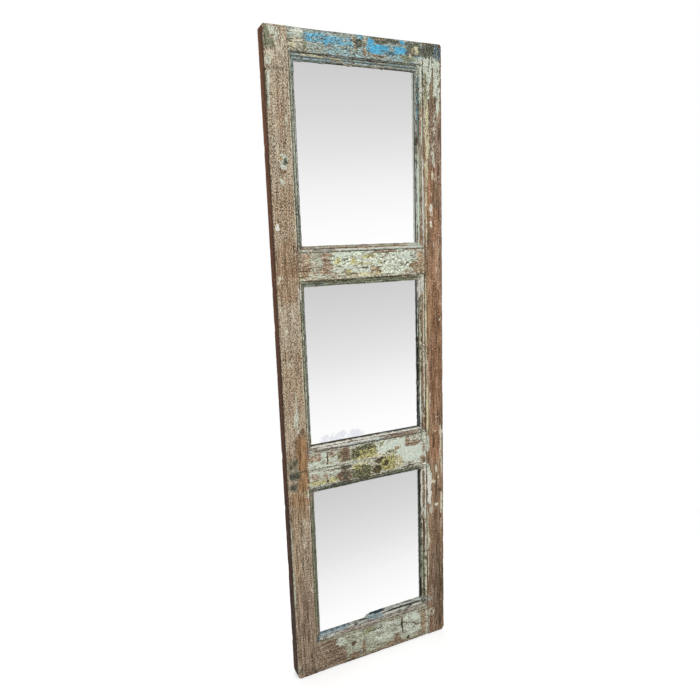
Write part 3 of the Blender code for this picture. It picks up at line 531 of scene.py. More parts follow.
def wear(mesh, timber):
    """Sinks the surface of a timber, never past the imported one: open grain, soft arrises, chips and hollows."""
    coords = read_points(mesh.vertices)
    normals = read_points(mesh.vertex_normals, "vector")
    u, v, d = places(coords)
    upright = timber.startswith("stile")
    inward = 1 if timber == "stile_left" else -1
    along, across = (v, u) if upright else (u, v)
    none = across * 0
    seed = sum(map(ord, timber))
    front = ramp(d, 6, 1)
    outer = np.minimum(u, FRAME_WIDTH - u) if upright else np.where(v < FRAME_HEIGHT / 2, v, FRAME_HEIGHT - v)
    depth = SOFT_WEAR + SOFT_WAVE * (1 + drift(along, across, 60, 30, seed))
    depth += front * FIBRE_RELIEF * np.abs(drift(along, across, 34, 2.3, seed + 1))
    depth += front * OPEN_GRAIN * ramp(drift(along, across, 90, 3.7, seed + 2), 0.35, 0.8)
    # outer arris, front and back
    near_edge = ramp(outer, 4.5, 0.5)
    arris = near_edge * ramp(d, 4.5, 0.5)
    back_arris = near_edge * ramp(d, FRAME_THICKNESS - 3, FRAME_THICKNESS - 0.5)
    chips = ramp(drift(along, none, 26, 9, seed + 3), 0.25, 0.9)
    nibbles = ramp(drift(along, none, 7, 9, seed + 4), 0.2, 0.9)
    depth += (arris + back_arris) * (ARRIS_WEAR + CHIPS * chips + NIBBLES * nibbles)
    # the corners, worn round
    if upright:
        for end, radius in zip((v, FRAME_HEIGHT - v), CORNER_ROUNDS[timber]):
            into_corner = np.clip(radius - end, 0, radius)
            inset = (radius - np.sqrt(radius**2 - into_corner**2)) * np.clip(1 - outer / 30, 0, 1)
            coords[:, 0] += inset * MM * inward
    # beads and arrises of the moulding
    moulding = ramp(d, 0.4, 1.2) * ramp(d, STICKING_DEPTH + 0.5, STICKING_DEPTH - 2) * (1 - near_edge)
    depth += moulding * (MOULDING_WEAR + MOULDING_DENTS * ramp(drift(along, d, 9, 4, seed + 5), 0.45, 0.9))
    coords -= normals * (depth * MM)[:, None]
    # lips against the glass: wavy all the way, and broken off in places
    if upright:
        lips = {inward: STILE_FACE if inward > 0 else FRAME_WIDTH - STILE_FACE}
    else:
        lips = dict(zip((-1, 1), rail_face(v)))
    axis, turn = (0, 1) if upright else (2, -1)
    for way, face in lips.items():
        lip = ramp(np.abs(across - (face + way * STICKING_WIDTH)), 2.4, 0.6)
        gone = LIP_WAVE * (1 + drift(along, none, 19, 9, seed + 7 + way))
        for broken_timber, points, first, last, broken in LIP_BREAKS:
            if (broken_timber, points) == (timber, way):
                ragged = broken * (1 + LIP_RAGGED * drift(along, none, 5, 50, seed + 6))
                reached = ramp(along, first - 1.5, first + 1.5) * ramp(along, last + 1.5, last - 1.5)
                gone = np.maximum(gone, ragged * reached)
        coords[:, axis] -= way * turn * lip * gone * MM
    move_points(mesh, coords)


def nail_hole(bm, u, v, diameter, depth):
    lying = Matrix.Translation(at(u, v, 0)) @ Matrix.Rotation(-pi / 2, 4, "X")
    sizes = {"radius1": diameter / 2 * MM, "radius2": diameter / 3 * MM, "depth": 2 * depth * MM}
    bmesh.ops.create_cone(bm, cap_ends=True, segments=14, matrix=lying, **sizes)


def crack(bm, points, width, depth):
    """A wedge-shaped split along a bent line, pinched to nothing at both ends."""
    line = []
    for (u0, v0), (u1, v1) in zip(points, points[1:]):
        steps = max(2, ceil(hypot(u1 - u0, v1 - v0) / 5))
        line += [(u0 + (u1 - u0) * k / steps, v0 + (v1 - v0) * k / steps) for k in range(steps)]
    line.append(points[-1])
    turn = atan2(points[-1][1] - points[0][1], points[-1][0] - points[0][0])
    side = Vector((-sin(turn), 0, -cos(turn)))
    spine = []
    for k, (u, v) in enumerate(line):
        wobble = 0.35 * sin(k * 2.1) + 0.25 * sin(k * 4.7 + 1)
        spine.append(bm.verts.new(at(u, v, -1) + side * wobble * MM))
    edges = [bm.edges.new(pair) for pair in zip(spine, spine[1:])]
    drawn = bmesh.ops.extrude_edge_only(bm, edges=edges)["geom"]
    far = points_among(drawn)
    for k, vert in enumerate(far):
        share = sin(pi * (k + 0.35) / (len(far) - 0.3))
        vert.co += side * width * max(0.12, share) ** 0.7 * MM
    strip = [g for g in drawn if isinstance(g, bmesh.types.BMFace)]
    sunk = points_among(bmesh.ops.extrude_face_region(bm, geom=strip)["geom"])
    bmesh.ops.translate(bm, verts=sunk, vec=(0, (depth + 1) * MM, 0))
    bmesh.ops.recalc_face_normals(bm, faces=bm.faces)


def damage(timber):
    """The nail holes and cracks that reach into a timber, as one cutter, or None."""
    low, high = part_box(timber)
    first_u, first_v = (low.x - LOWEST.x) / MM, (HIGHEST.z - high.z) / MM
    last_u, last_v = (high.x - LOWEST.x) / MM, (HIGHEST.z - low.z) / MM
    bm = bmesh.new()
    for _, u, v, diameter, depth in NAIL_HOLES:
        if first_u < u < last_u and first_v < v < last_v:
            nail_hole(bm, u, v, diameter, depth)
    for points, width, depth in CRACKS:
        if any(first_u < u < last_u and first_v < v < last_v for u, v in points):
            crack(bm, points, width, depth)
    if bm.verts:
        return as_mesh(bm, "damage")
    bm.free()
    return None


def drop_crumbs(mesh):
    """Keeps only the largest of a mesh's loose parts."""
    bm = bmesh.new()
    bm.from_mesh(mesh)
    unseen, parts = set(bm.verts), []
    while unseen:
        part, reached = set(), [unseen.pop()]
        while reached:
            vert = reached.pop()
            part.add(vert)
            new = {edge.other_vert(vert) for edge in vert.link_edges} & unseen
            unseen -= new
            reached += new
        parts.append(part)
    parts.sort(key=len)
    for part in parts[:-1]:
        bmesh.ops.delete(bm, geom=list(part), context="VERTS")
    bm.to_mesh(mesh)
    bm.free()


def trimmed(mesh, timber):
    """A worn timber cut to its packed joints, with its holes and cracks."""
    rough = new_object("rough", mesh)
    cutters = []
    packed = as_mesh(merged_copy(timber), "packed")
    for operation, cutter in (("INTERSECT", packed), ("DIFFERENCE", damage(timber))):
        if cutter is not None:
            cutters.append(new_object("cutter", cutter))
            cut = rough.modifiers.new("cut", "BOOLEAN")
            cut.operation, cut.solver, cut.object = operation, "MANIFOLD", cutters[-1]
    made = bpy.data.meshes.new_from_object(rough.evaluated_get(bpy.context.evaluated_depsgraph_get()))
    for spare in (rough, *cutters):
        bpy.data.objects.remove(spare)
    drop_crumbs(made)
    return made


def patch_mask(u, v, patch, upright):
    """How much of a patch lies at each point, from 0 to 1, with an edge that is ragged along the grain."""
    middle_u, middle_v, width, height, *lean = patch
    turn = radians(lean[0]) if lean else 0
    long_wave, short_wave = (5, 13) if upright else (13, 5)
    ragged_u = 0.65 * drift(u, v, long_wave, short_wave, middle_u + 1) + 0.5 * drift(u, v, 4, 4, middle_v + 3)
    ragged_v = 0.65 * drift(u, v, long_wave, short_wave, middle_v + 2) + 0.5 * drift(u, v, 4, 4, middle_u + 4)
    most_u, most_v = (3.5, 9) if upright else (9, 3.5)
    u = u + ragged_u * min(most_u, 0.3 * width)
    v = v + ragged_v * min(most_v, 0.3 * height)
    across, down = u - middle_u, v - middle_v
    across, down = across * cos(turn) + down * sin(turn), down * cos(turn) - across * sin(turn)
    reach = (np.abs(across / (width / 2)) ** 3 + np.abs(down / (height / 2)) ** 3) ** (1 / 3)
    return ramp(reach, 1.22, 0.80)


def lay(surface, change, mask, near=slice(None)):
    """Lays a look on a surface's values, as far as the mask says, on all points or on those that are near."""
    for name, value in change.items():
        values = surface[name]
        share = mask[:, None] if values.ndim == 2 else mask
        values[near] += (np.array(value, float) - values[near]) * share


def paint(mesh, timber, fixed=True):
    """Writes on a timber's points where each coat, bare wood, moss and stain lies.

    Fixed is for a timber itself: its grooves, sides, back and walls are painted too.
    """
    u, v, d = places(read_points(mesh.vertices))
    upright = timber.startswith("stile")
    surface = {
        name: np.full(len(u), value) if isinstance(value, float) else np.tile(value, (len(u), 1))
        for name, value in {**GROUNDS[timber], "moss": 0.0, "stain": 0.0}.items()
    }
    for finish, *patch in PATCHES:
        middle_u, middle_v, width, height = patch[:4]
        reach = max(width, height) * 0.75 + 10
        near = np.flatnonzero((np.abs(u - middle_u) < reach) & (np.abs(v - middle_v) < reach))
        if len(near):
            lay(surface, FINISHES[finish], patch_mask(u[near], v[near], patch, upright), near)
    if fixed:
        # quirks and fillets of the moulding are darkened by dirt and by painted shade in their hollows
        if upright:
            into = np.minimum(u, FRAME_WIDTH - u) - STILE_FACE
        else:
            first, last = rail_face(v)
            into = np.maximum(first - v, v - last)
        share = into / STICKING_WIDTH
        dirt_and_shade_strength = {"stile_left": 1, "stile_right": 0.3 + 0.45 * ramp(v, 540, 600), "rail_bottom": 0.4}
        for groove, breadth, dirt_and_shade in GROOVES:
            near = ramp(np.abs(share - groove), breadth * 1.8, breadth * 0.6)
            deep = dirt_and_shade * dirt_and_shade_strength.get(timber, 0.75) * near
            surface["stain"] = np.maximum(surface["stain"], deep)
            surface["left"] *= 1 - 0.5 * deep
        # and their coats are broken all along
        along, across = (v, u) if upright else (u, v)
        broken = drift(along, across, 15, 4.6, 21) + 0.6 * drift(along, across, 6, 3.1, 22)
        moulding = ramp(share, 0.02, 0.10) * ramp(share, 1.0, 0.92)
        surface["left"] += moulding * BROKEN_COAT * broken * surface["left"]
        # the lip's wall against the glass
        wall = ramp(share, 0.97, 0.995)
        lay(surface, DARK_WALL if timber == "rail_lower_mid" else WALL, wall)
        if timber == "stile_right":
            lay(surface, PALE_WALL, wall * ramp(v, PALE_WALL_FOOT + 10, PALE_WALL_FOOT - 10))
        # the outer sides, darkest behind the front arris and palest towards the back
        down = ramp(v, 0, FRAME_HEIGHT)[:, None]
        side_wood = SIDE_TOP_WOOD * (1 - down) + SIDE_FOOT_WOOD * down
        side_wood *= (0.56 + 0.52 * ramp(d, 6, 28) + 0.34 * ramp(d, 28, 44))[:, None]
        outer = np.minimum(v, FRAME_HEIGHT - v)
        if upright:
            outer = np.minimum(outer, np.minimum(u, FRAME_WIDTH - u))
        outer_side = ramp(d, 1.5, 4.0) * (outer < 3) * ramp(d, FRAME_THICKNESS - 0.4, FRAME_THICKNESS - 1.5)
        lay(surface, {**UNPAINTED, "wood": side_wood}, outer_side)
        # everything behind the face, with damp marks and what is left of an old coat
        behind = ramp(d, STICKING_DEPTH, STICKING_DEPTH + 1) * (1 - outer_side)
        old_coat = ramp(drift(along, across, 210, 24, 5) + 0.5 * drift(along, across, 34, 7, 6), 0.1, 0.9)
        damp = ramp(drift(along, across, 160, 40, 8), 0.2, 0.8)
        lay(surface, BACK_LOOK, behind)
        added = {"left": 0.42 * old_coat, "residue": 0.30 * old_coat, "stain": 0.35 * damp, "rough": 0.4}
        for name, more in added.items():
            surface[name] += behind * more
    for name, values in surface.items():
        if values.ndim == 2:
            layer = mesh.attributes.new(name, "FLOAT_COLOR", "POINT")
            layer.data.foreach_set("color", np.c_[values, np.ones(len(u))].astype(np.float32).ravel())
        else:
            layer = mesh.attributes.new(name, "FLOAT", "POINT")
            layer.data.foreach_set("value", values.astype(np.float32))


class Value:
    """What a shader node puts out. Numbers and other values can be reckoned with it."""

    def __init__(self, socket):
        self.socket, self.tree = socket, socket.id_data

    def __add__(self, other):
        return reckon("ADD", self, other)

    def __sub__(self, other):
        return reckon("SUBTRACT", self, other)

    def __rsub__(self, other):
        return reckon("SUBTRACT", other, self)

    def __mul__(self, other):
        return reckon("MULTIPLY", self, other)

    def __truediv__(self, other):
        return reckon("DIVIDE", self, other)

    def __abs__(self):
        return reckon("ABSOLUTE", self)


def give(receiver, inputs):
    """Sets or links each of these inputs of a node."""
    for name, value in inputs.items():
        if isinstance(value, Value):
            value.tree.links.new(value.socket, receiver.inputs[name])
        else:
            receiver.inputs[name].default_value = value


def add_node(kind, inputs, tree=None, **settings):
    """A shader node with its settings and inputs, in the tree of its inputs if no other is named."""
    tree = tree or next(value.tree for value in inputs.values() if isinstance(value, Value))
    made = tree.nodes.new("ShaderNode" + kind)
    for name, value in settings.items():
        setattr(made, name, value)
    give(made, inputs)
    return made


def result(kind, inputs, which=0, **settings):
    """What a new shader node puts out."""
    return Value(add_node(kind, inputs, **settings).outputs[which])


def reckon(operation, a, b=0.0, clamp=False):
    return result("Math", {0: a, 1: b}, operation=operation, use_clamp=clamp)


def larger(a, b):
    return reckon("MAXIMUM", a, b)


def mapped(value, low, high):
    """A value's share of the way from low to high."""
    return result("MapRange", {0: value, 1: low, 2: high})


def spread(value, low, high, new_low=0.0, new_high=1.0):
    """A value eased from low..high to new_low..new_high."""
    inputs = {0: value, 1: low, 2: high, 3: new_low, 4: new_high}
    return result("MapRange", inputs, interpolation_type="SMOOTHSTEP")


def blend(share, a, b, kind="MIX"):
    """Two colours mixed."""
    return result("Mix", {0: share, 6: a, 7: b}, 2, data_type="RGBA", blend_type=kind)


def noise(vector, scale, detail=4.0, roughness=0.6):
    return result("TexNoise", {"Vector": vector, "Scale": scale, "Detail": detail, "Roughness": roughness})


def scaled(vector, scale, shift=(0, 0, 0)):
    return result("Mapping", {"Vector": vector, "Scale": scale, "Location": shift})


def bump(height, distance):
    return result("Bump", {"Height": height, "Distance": distance})


def new_group(name, inputs, outputs):
    """An empty shader node group with these sockets; returns its inputs' values and its output node."""
    tree = bpy.data.node_groups.new(name, "ShaderNodeTree")
    kinds = {"Vector": "Vector", "Wood": "Color", "Colour": "Color", "Shade": "Color"}
    for names, way in ((inputs, "INPUT"), (outputs, "OUTPUT")):
        for socket in names.split():
            kind = "NodeSocket" + kinds.get(socket, "Float")
            tree.interface.new_socket(socket, in_out=way, socket_type=kind)
    given = tree.nodes.new("NodeGroupInput").outputs
    return [Value(given[socket]) for socket in inputs.split()], tree.nodes.new("NodeGroupOutput")


def place(group, **inputs):
    """What a node group puts out in a material, by name, with its inputs set or linked."""
    return {output.name: Value(output) for output in add_node("Group", inputs, node_tree=group).outputs}


def growth(vector, size, amount):
    """How much growth lies at each point of a material; size is its patches to the metre."""
    return place(GROWTH, Vector=vector, Size=size, Amount=amount)["Mask"]


def grain_group():
    """Weathered grain: lines of fibre, darker bands and open pores. One unit of Vector is one fibre."""
    (vector, wood, contrast), out = new_group("Weathered grain", "Vector Wood Contrast", "Colour Height")
    fibre = spread(noise(vector, 1.0, 4, 0.55), 0.33, 0.67)
    band = spread(noise(vector, 0.34, 3, 0.5), 0.34, 0.66)
    pores = spread(noise(scaled(vector, (2.1, 2.1, 2.1), (3, 7, 5)), 1.0, 2, 0.5), 0.36, 0.27)
    light = fibre * 0.7 + band * 0.3
    dark_wood = blend(contrast, wood, (0.30, 0.25, 0.21, 1), "MULTIPLY")
    pale_wood = blend(contrast, wood, (1.52, 1.48, 1.42, 1), "MULTIPLY")
    colour = blend(pores * 0.55, blend(light, dark_wood, pale_wood), (0.035, 0.024, 0.017, 1))
    give(out, {"Colour": colour, "Height": light - pores * 0.8})
    return out.id_data


def flakes_group():
    """What is left of an old coat that has flaked off. One unit of Vector is one flake."""
    (vector, left), out = new_group("Flaked coat", "Vector Left", "Mask Rim")
    uneven = noise(vector, 1.0, 5, 0.62) * 0.68 + noise(vector, 0.28, 3, 0.55) * 0.32
    over = left - mapped(uneven, 0.34, 0.66)
    # Rim is a band along the flakes' edges, where materials lay painted shade
    give(out, {"Mask": spread(over, -0.035, 0.035), "Rim": spread(abs(over), 0.11, 0.0)})
    return out.id_data


def speckle_group():
    """Light and dark specks of an old rough surface. One unit of Vector is one speck, Rough is how strong."""
    (vector, rough), out = new_group("Speckle", "Vector Rough", "Level Pit Shade")
    level = mapped(noise(vector, 1.0, 1.5, 0.5), 0.28, 0.72)
    other = noise(scaled(vector, (1.15, 1.15, 1.15), (5, 1, 9)), 1.0, 1.5, 0.5)
    pit, glint = spread(other, 0.47, 0.37), spread(other, 0.52, 0.64)
    dark = blend(pit * rough * 0.85, (0.85, 0.85, 0.86, 1), (0.19, 0.15, 0.11, 1))
    light = blend(glint * rough, (1, 1, 1, 1), (1.50, 1.50, 1.48, 1))
    give(out, {"Level": level, "Pit": pit, "Shade": blend(1.0, dark, light, "MULTIPLY")})
    return out.id_data


def growth_group():
    """Moss, stain or dust that gathers in patches."""
    (vector, size, amount), out = new_group("Patchy growth", "Vector Size Amount", "Mask")
    give(out, {"Mask": spread(amount - spread(noise(vector, size, 6, 0.7), 0.30, 0.70), -0.30, 0.35)})
    return out.id_data


def crackle_group():
    """Fine cracks between the cells of a dried coat."""
    (vector, size), out = new_group("Crackle", "Vector Size", "Line")
    wander = result("TexNoise", {"Vector": vector, "Scale": 160.0, "Detail": 2.0}, "Color")
    push = result("VectorMath", {0: wander, "Scale": 0.004}, operation="SCALE")
    bent = result("VectorMath", {0: vector, 1: push}, operation="ADD")
    cells = result("TexVoronoi", {"Vector": bent, "Scale": size}, "Distance", feature="DISTANCE_TO_EDGE")
    give(out, {"Line": spread(cells, 0.05, 0.0)})
    return out.id_data


GRAIN, FLAKES, SPECKLE = grain_group(), flakes_group(), speckle_group()
GROWTH, CRACKLE = growth_group(), crackle_group()


def new_material(name):
    """A material with a bare Principled shader; returns it, its shader and Object coordinates."""
    made = bpy.data.materials.new(name)
    made.use_nodes = True
    return made, made.node_tree.nodes["Principled BSDF"], result("TexCoord", {}, "Object", tree=made.node_tree)


def painted_timber(name, fibre_scale, flake_scale, pore_scale):
    """Old timber under the coats, moss and stains that its points carry."""
    made, shader, coords = new_material(name)
    carried = {
        name: result("Attribute", {}, output, tree=made.node_tree, attribute_name=name)
        for output, names in (("Color", "coat under wood"), ("Fac", "left residue rough moss stain"))
        for name in names.split()
    }
    wood = place(GRAIN, Vector=scaled(coords, fibre_scale), Wood=carried["wood"], Contrast=1.0)
    # flakes of the coat, and what is left of it in the pores
    flakes = place(FLAKES, Vector=scaled(coords, flake_scale), Left=carried["left"])
    speck = place(SPECKLE, Vector=scaled(coords, pore_scale), Rough=carried["rough"])
    crumbs = speck["Level"] + carried["residue"] + (wood["Height"] - 0.48) * 0.20 - 1.0
    bare = blend(spread(crumbs, -0.10, 0.10) * 0.80, wood["Colour"], carried["under"])
    # painted shade on the bare wood along the flakes' rims, where the coat's edges stand up
    bare = blend(flakes["Rim"] * 0.35, bare, (0.03, 0.024, 0.018, 1))
    # the coat itself, crackled
    lines = place(CRACKLE, Vector=coords, Size=210.0)["Line"]
    coat = blend(lines * 0.35, carried["coat"], (0.05, 0.045, 0.035, 1))
    colour = blend(flakes["Mask"], bare, coat)
    # light and dark specks over both
    colour = blend(1.0, colour, speck["Shade"], "MULTIPLY")
    # moss in black tufts, and darkening for stains and for painted shade
    elsewhere = scaled(coords, (1, 1, 1), (4, 2, 7))
    tufts = spread(growth(elsewhere, 300.0, carried["moss"] * 0.74), 0.36, 0.66)
    colour = blend(tufts * 0.9, colour, shade(50, 50, 34))
    colour = blend(growth(coords, 190.0, carried["stain"]) * 0.78, colour, shade(58, 54, 44))
    roughness = reckon("ADD", 0.88 - flakes["Mask"] * 0.24, tufts * 0.2, clamp=True)
    # the coat and the tufts stand up, pores and pits lie deep
    height = wood["Height"] * 0.7 + flakes["Mask"] * (0.9 - lines * 0.5) + tufts * 0.5 - speck["Pit"] * 0.5
    give(shader, {"Base Color": colour, "Roughness": roughness, "Specular IOR Level": 0.25})
    give(shader, {"Normal": bump(height, 0.5 * MM)})
    return made


def plain_timber(name, fibre_scale, wood_tone, dust):
    """Bare timber behind the panes, with dust on it."""
    made, shader, coords = new_material(name)
    wood = place(GRAIN, Vector=scaled(coords, fibre_scale), Wood=wood_tone, Contrast=0.55)
    colour = blend(growth(coords, 60.0, dust) * 0.5, wood["Colour"], shade(150, 142, 130))
    give(shader, {"Base Color": colour, "Roughness": 0.8, "Normal": bump(wood["Height"], 0.25 * MM)})
    return made


def hardboard():
    """Brown pressed board with short fibres and water marks."""
    made, shader, coords = new_material("hardboard")
    fibres = spread(noise(scaled(coords, (900, 900, 420)), 1.0, 3, 0.6), 0.34, 0.66)
    colour = blend(fibres, shade(104, 76, 52), shade(146, 112, 78))
    colour = blend(growth(coords, 9.0, 0.42) * 0.45, colour, shade(82, 62, 46))
    give(shader, {"Base Color": colour, "Roughness": 0.78, "Normal": bump(fibres, 0.12 * MM)})
    return made


def silvered_glass(node_name, clouded):
    """A mirror pane whose colour is a painted reflection, greyer towards the top, and clouded in one lower
    corner.
    """
    pane = node_name.split("_")[-1]
    made, shader, coords = new_material("silvering_" + pane)
    low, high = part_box(node_name)
    height, side = (
        mapped(result("SeparateXYZ", {0: coords}, way), getattr(low, way.lower()), getattr(high, way.lower()))
        for way in "ZX"
    )
    # a painted reflection: the pane greys from its foot to its top
    painted_reflection = result("ValToRGB", {0: height + side * -0.05})
    stops = painted_reflection.socket.node.color_ramp.elements
    # the ramp comes with two stops: its last is taken off, and its first is the foot's
    stops.remove(stops[1])
    for k, (position, grey) in enumerate(REFLECTED_GREYS):
        stop = stops.new(position) if k else stops[0]
        stop.color = shade(grey, grey, grey)
    beyond = larger(height / 0.10, abs(side - 0.28) / 0.27)
    amount = spread(beyond, 1.0, 0.5, NO_GROWTH, clouded)
    cloud = growth(coords, 52.0, amount)
    colour = blend(cloud * 0.5, painted_reflection, shade(202, 206, 218))
    # a painted reflection of the lip's wall along the right, and a dark line of dirt and painted shade where they
    # meet
    sight = (FRAME_WIDTH - STILE_FACE - STICKING_WIDTH) * MM + LOWEST.x
    edge, one = (sight - low.x) / (high.x - low.x), MM / (high.x - low.x)
    ragged = side + (noise(scaled(coords, (1, 1, 90)), 1.0, 4) - 0.5) * (5 * one)
    breadth, reflected_lip_tone, dirt_and_shade_breadth = PANES[pane]
    worn = spread(ragged, edge - breadth * one, edge - (breadth - 1.2) * one)
    dirt_and_shade = spread(ragged, edge - dirt_and_shade_breadth * one, edge - (dirt_and_shade_breadth - 0.9) * one)
    colour = blend(dirt_and_shade * 0.9, blend(worn * 0.9, colour, shade(*reflected_lip_tone)), shade(36, 35, 31))
    roughness = spread(cloud, 0.0, 1.0, 0.015, 0.05)
    give(shader, {"Base Color": colour, "Metallic": 1.0, "Roughness": roughness})
    return made


def zinc():
    """Zinc-plated steel, dulled, with a little rust in the corners."""
    made, shader, coords = new_material("dull_zinc")
    spangle = spread(noise(coords, 420.0, 3), 0.35, 0.65)
    rust = growth(coords, 330.0, 0.30)
    steel_tone = blend(spangle, shade(150, 150, 146), shade(186, 187, 184))
    colour = blend(rust * 0.8, steel_tone, shade(112, 78, 54))
    roughness = spread(spangle + rust, 0.0, 1.6, 0.32, 0.62)
    give(shader, {"Base Color": colour, "Metallic": 0.95 - rust * 0.8, "Roughness": roughness})
    give(shader, {"Normal": bump(rust, 0.08 * MM)})
    return made


def panel_pins():
    """Small steel pins, a few to each batten, with their heads just proud."""
    bm = bmesh.new()
    sides = ("upper", "lower", "left", "right")
    for batten in [f"batten_{pane}_{side}" for pane in PANES for side in sides]:
        low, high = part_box(batten)
        size = high - low
        count = 4 if max(size.x, size.z) > 0.4 else 3
        for k in range(count):
            share = (k + 0.5) / count + 0.02 * sin(k * 5.3 + low.z * 40)
            if size.x > size.z:
                spot = Vector((low.x + size.x * share, high.y, (low.z + high.z) / 2))
            else:
                spot = Vector(((low.x + high.x) / 2, high.y, low.z + size.z * share))
            lying = Matrix.Translation(spot + Vector((0, 0.1 * MM, 0)))
            lying @= Matrix.Rotation(0.12 * sin(k * 3.1 + low.x * 50), 4, "Z")
            lying @= Matrix.Rotation(-pi / 2, 4, "X")
            sizes = {"radius1": 1.0 * MM, "radius2": 0.8 * MM, "depth": 0.8 * MM}
            made = bmesh.ops.create_cone(bm, cap_ends=True, segments=10, matrix=lying, **sizes)
            rim = {edge for vert in made["verts"] for edge in vert.link_edges}
            rounding = {"offset": 0.15 * MM, "segments": 2, "profile": 0.5, "affect": "EDGES", "material": -1}
            bmesh.ops.bevel(bm, geom=list(rim), **rounding)
    return new_object("panel_pins", as_mesh(bm, "panel_pins"))


def bead_remnant(material):
    """What is left of an old bead in front of the bottom pane: ragged above, split off at its left end."""
    (first, last), (top, foot), (front, back) = REMNANT
    low, high = at(first, foot, front), at(last, top, back)
    size = high - low
    bm = bmesh.new()
    bmesh.ops.create_cube(bm, size=1, matrix=Matrix.Translation((low + high) / 2) @ Matrix.Diagonal((*size, 1)))
    for length, cuts in ((size.x, 90), (size.z, 5), (size.y, 1)):
        cut_edges = [edge for edge in bm.edges if abs(edge.calc_length() - length) < 1e-6]
        bmesh.ops.subdivide_edges(bm, edges=cut_edges, cuts=cuts, use_grid_fill=True)
    mesh = as_mesh(bm, "bead_remnant")
    coords = read_points(mesh.vertices)
    u, v, d = places(coords)
    none = 0 * u
    ragged = 0.35 * (1 + drift(u, none, 17, 9, 3)) + 0.3 * (1 + drift(u, none, 4, 9, 5))
    ragged += 4.5 * ramp(u, first + 22, first)
    ragged += 1.6 * ramp(u, first + 60, first) * (1 + drift(u, none, 6, 9, 8))
    coords[:, 2] -= ramp(v, foot - 2, top) * ragged * MM
    coords[:, 1] += ramp(d, back, front) * 0.4 * (1 + drift(u, v, 14, 2, 4)) * MM
    move_points(mesh, coords)
    smooth(mesh)
    paint(mesh, "rail_bottom", fixed=False)
    mesh.materials.append(material)
    return new_object("bead_remnant", mesh)


# Timbers: how many fibres, flakes and pores to the metre, across the grain and along it
FIBRES, FLAKE_ROWS = (1 / (3.1 * MM), 1 / (48 * MM)), (1 / (2.4 * MM), 1 / (13 * MM))
STILE_PORES, RAIL_PORES = (1 / (1.6 * MM), 1 / (4.6 * MM)), (1 / (1.9 * MM), 1 / (4.8 * MM))


def upright_grain(across, along):
    return across, across, along


def level_grain(across, along):
    return along, across, across


stile_material = painted_timber("weathered_stile", *starmap(upright_grain, (FIBRES, FLAKE_ROWS, STILE_PORES)))
rail_material = painted_timber("weathered_rail", *starmap(level_grain, (FIBRES, FLAKE_ROWS, RAIL_PORES)))
for timber, (grain, cut_at) in TIMBERS.items():
    whole = drawn_out(timber, grain, cut_at)
    wear(whole, timber)
    worn = trimmed(whole, timber)
    smooth(worn)
    paint(worn, timber)
    piece = new_object("worn_" + timber, worn)
    worn.materials.clear()
    worn.materials.append(stile_material if timber.startswith("stile") else rail_material)
    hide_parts(timber)
    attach(piece, "frame")

remnant = bead_remnant(rail_material)
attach(remnant, "frame")

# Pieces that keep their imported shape
BATTEN_TONE = shade(168, 140, 104)
steel, board = zinc(), hardboard()
batten_upright = plain_timber("batten_upright", upright_grain(*FIBRES), BATTEN_TONE, 0.3)
batten_level = plain_timber("batten_level", level_grain(*FIBRES), BATTEN_TONE, 0.3)
peg = plain_timber("peg_end_grain", (FIBRES[0], FIBRES[1], FIBRES[0]), shade(84, 76, 60), 0.2)
for name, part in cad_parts.items():
    if name in TIMBERS:
        continue
    if name.startswith("mirror_pane"):
        finish = silvered_glass(name, 0.7 if name.endswith("middle") else NO_GROWTH)
    elif name.startswith("backing_board"):
        finish = board
    elif name.startswith("batten"):
        finish = batten_upright if name.endswith(("left", "right")) else batten_level
    else:
        finish = peg if name.startswith("peg") else steel
    for slot in part.material_slots:
        slot.material = finish
pins = panel_pins()
pins.data.materials.append(steel)
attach(pins, "frame")


def rays(tree):
    """1 for a ray straight from the camera, and 1 for one that comes by way of a mirror or through glass."""
    straight, glossy, through = (
        result("LightPath", {}, f"Is {kind} Ray", tree=tree) for kind in ("Camera", "Glossy", "Transmission")
    )
    return straight, larger(glossy, through)


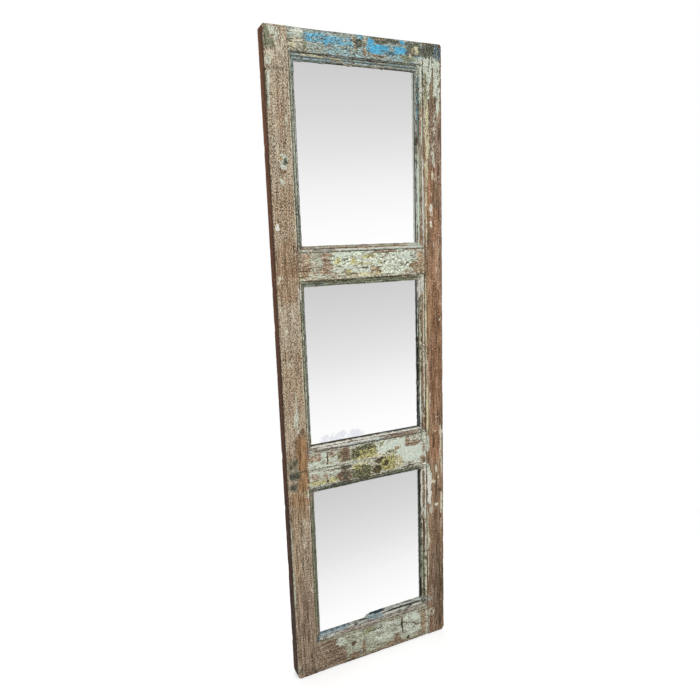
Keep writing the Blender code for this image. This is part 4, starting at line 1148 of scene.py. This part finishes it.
def pale_floor():
    """White to the camera and the mirrors, with the object's soft shadow, fading into the surrounding."""
    made, shader, coords = new_material("pale_floor")
    give(shader, {"Base Color": (0.7, 0.7, 0.7, 1), "Specular IOR Level": 0.0, "Roughness": 1.0})
    straight, mirrored = rays(made.node_tree)
    far = spread(result("VectorMath", {0: coords}, "Value", operation="LENGTH"), 0.5, 1.8)
    white, glow = (
        result("Emission", {"Color": (1, 1, 1, 1), "Strength": strength}, tree=made.node_tree)
        for strength in (1.0, FLOOR_GLOW)
    )
    plain = Value(shader.outputs[0])
    near = result("AddShader", {0: plain, 1: glow})
    lit = result("MixShader", {0: straight, 1: plain, 2: near})
    mixed = result("MixShader", {0: larger(mirrored, straight * far), 1: lit, 2: white})
    give(made.node_tree.nodes["Material Output"], {"Surface": mixed})
    return made


# Studio: a pale floor, a surrounding that is whiter to the camera than to the object, and three soft lamps
bm = bmesh.new()
bmesh.ops.create_circle(bm, cap_ends=True, segments=64, radius=2.4)
floor = new_object("floor", as_mesh(bm, "floor"))
floor.data.materials.append(pale_floor())

world = bpy.data.worlds.new("studio")
bpy.context.scene.world = world
world.use_nodes = True
strength = spread(larger(*rays(world.node_tree)), 0.0, 1.0, 0.55, 1.0)
give(world.node_tree.nodes["Background"], {"Color": (1, 1, 1, 1), "Strength": strength})

for name, where, size, power in (
    ("key_lamp", (-1.6, -3.0, 2.6), 1.8, 70),
    ("fill_lamp", (2.2, -2.6, 1.6), 2.2, 35),
    ("back_lamp", (0.8, 3.0, 2.4), 2.2, 45),
):
    lamp = bpy.data.lights.new(name, "AREA")
    lamp.shape, lamp.size, lamp.energy = "DISK", size, power
    made = new_object(name, lamp)
    made.location = where
    made.rotation_mode = "QUATERNION"
    made.rotation_quaternion = (LAMP_AIM - Vector(where)).to_track_quat("-Z", "Y")
    made.visible_glossy = False

camera = new_object("camera", bpy.data.cameras.new("camera"))
camera.data.lens, camera.data.sensor_width = CAMERA_LENS, CAMERA_SENSOR
turn = Matrix((CAMERA_RIGHT, CAMERA_UP, CAMERA_RIGHT.cross(CAMERA_UP))).transposed()
camera.matrix_world = Matrix.Translation(CAMERA_PLACE) @ turn.to_4x4()
bpy.context.scene.camera = camera
bpy.context.scene.view_settings.view_transform = "Standard"
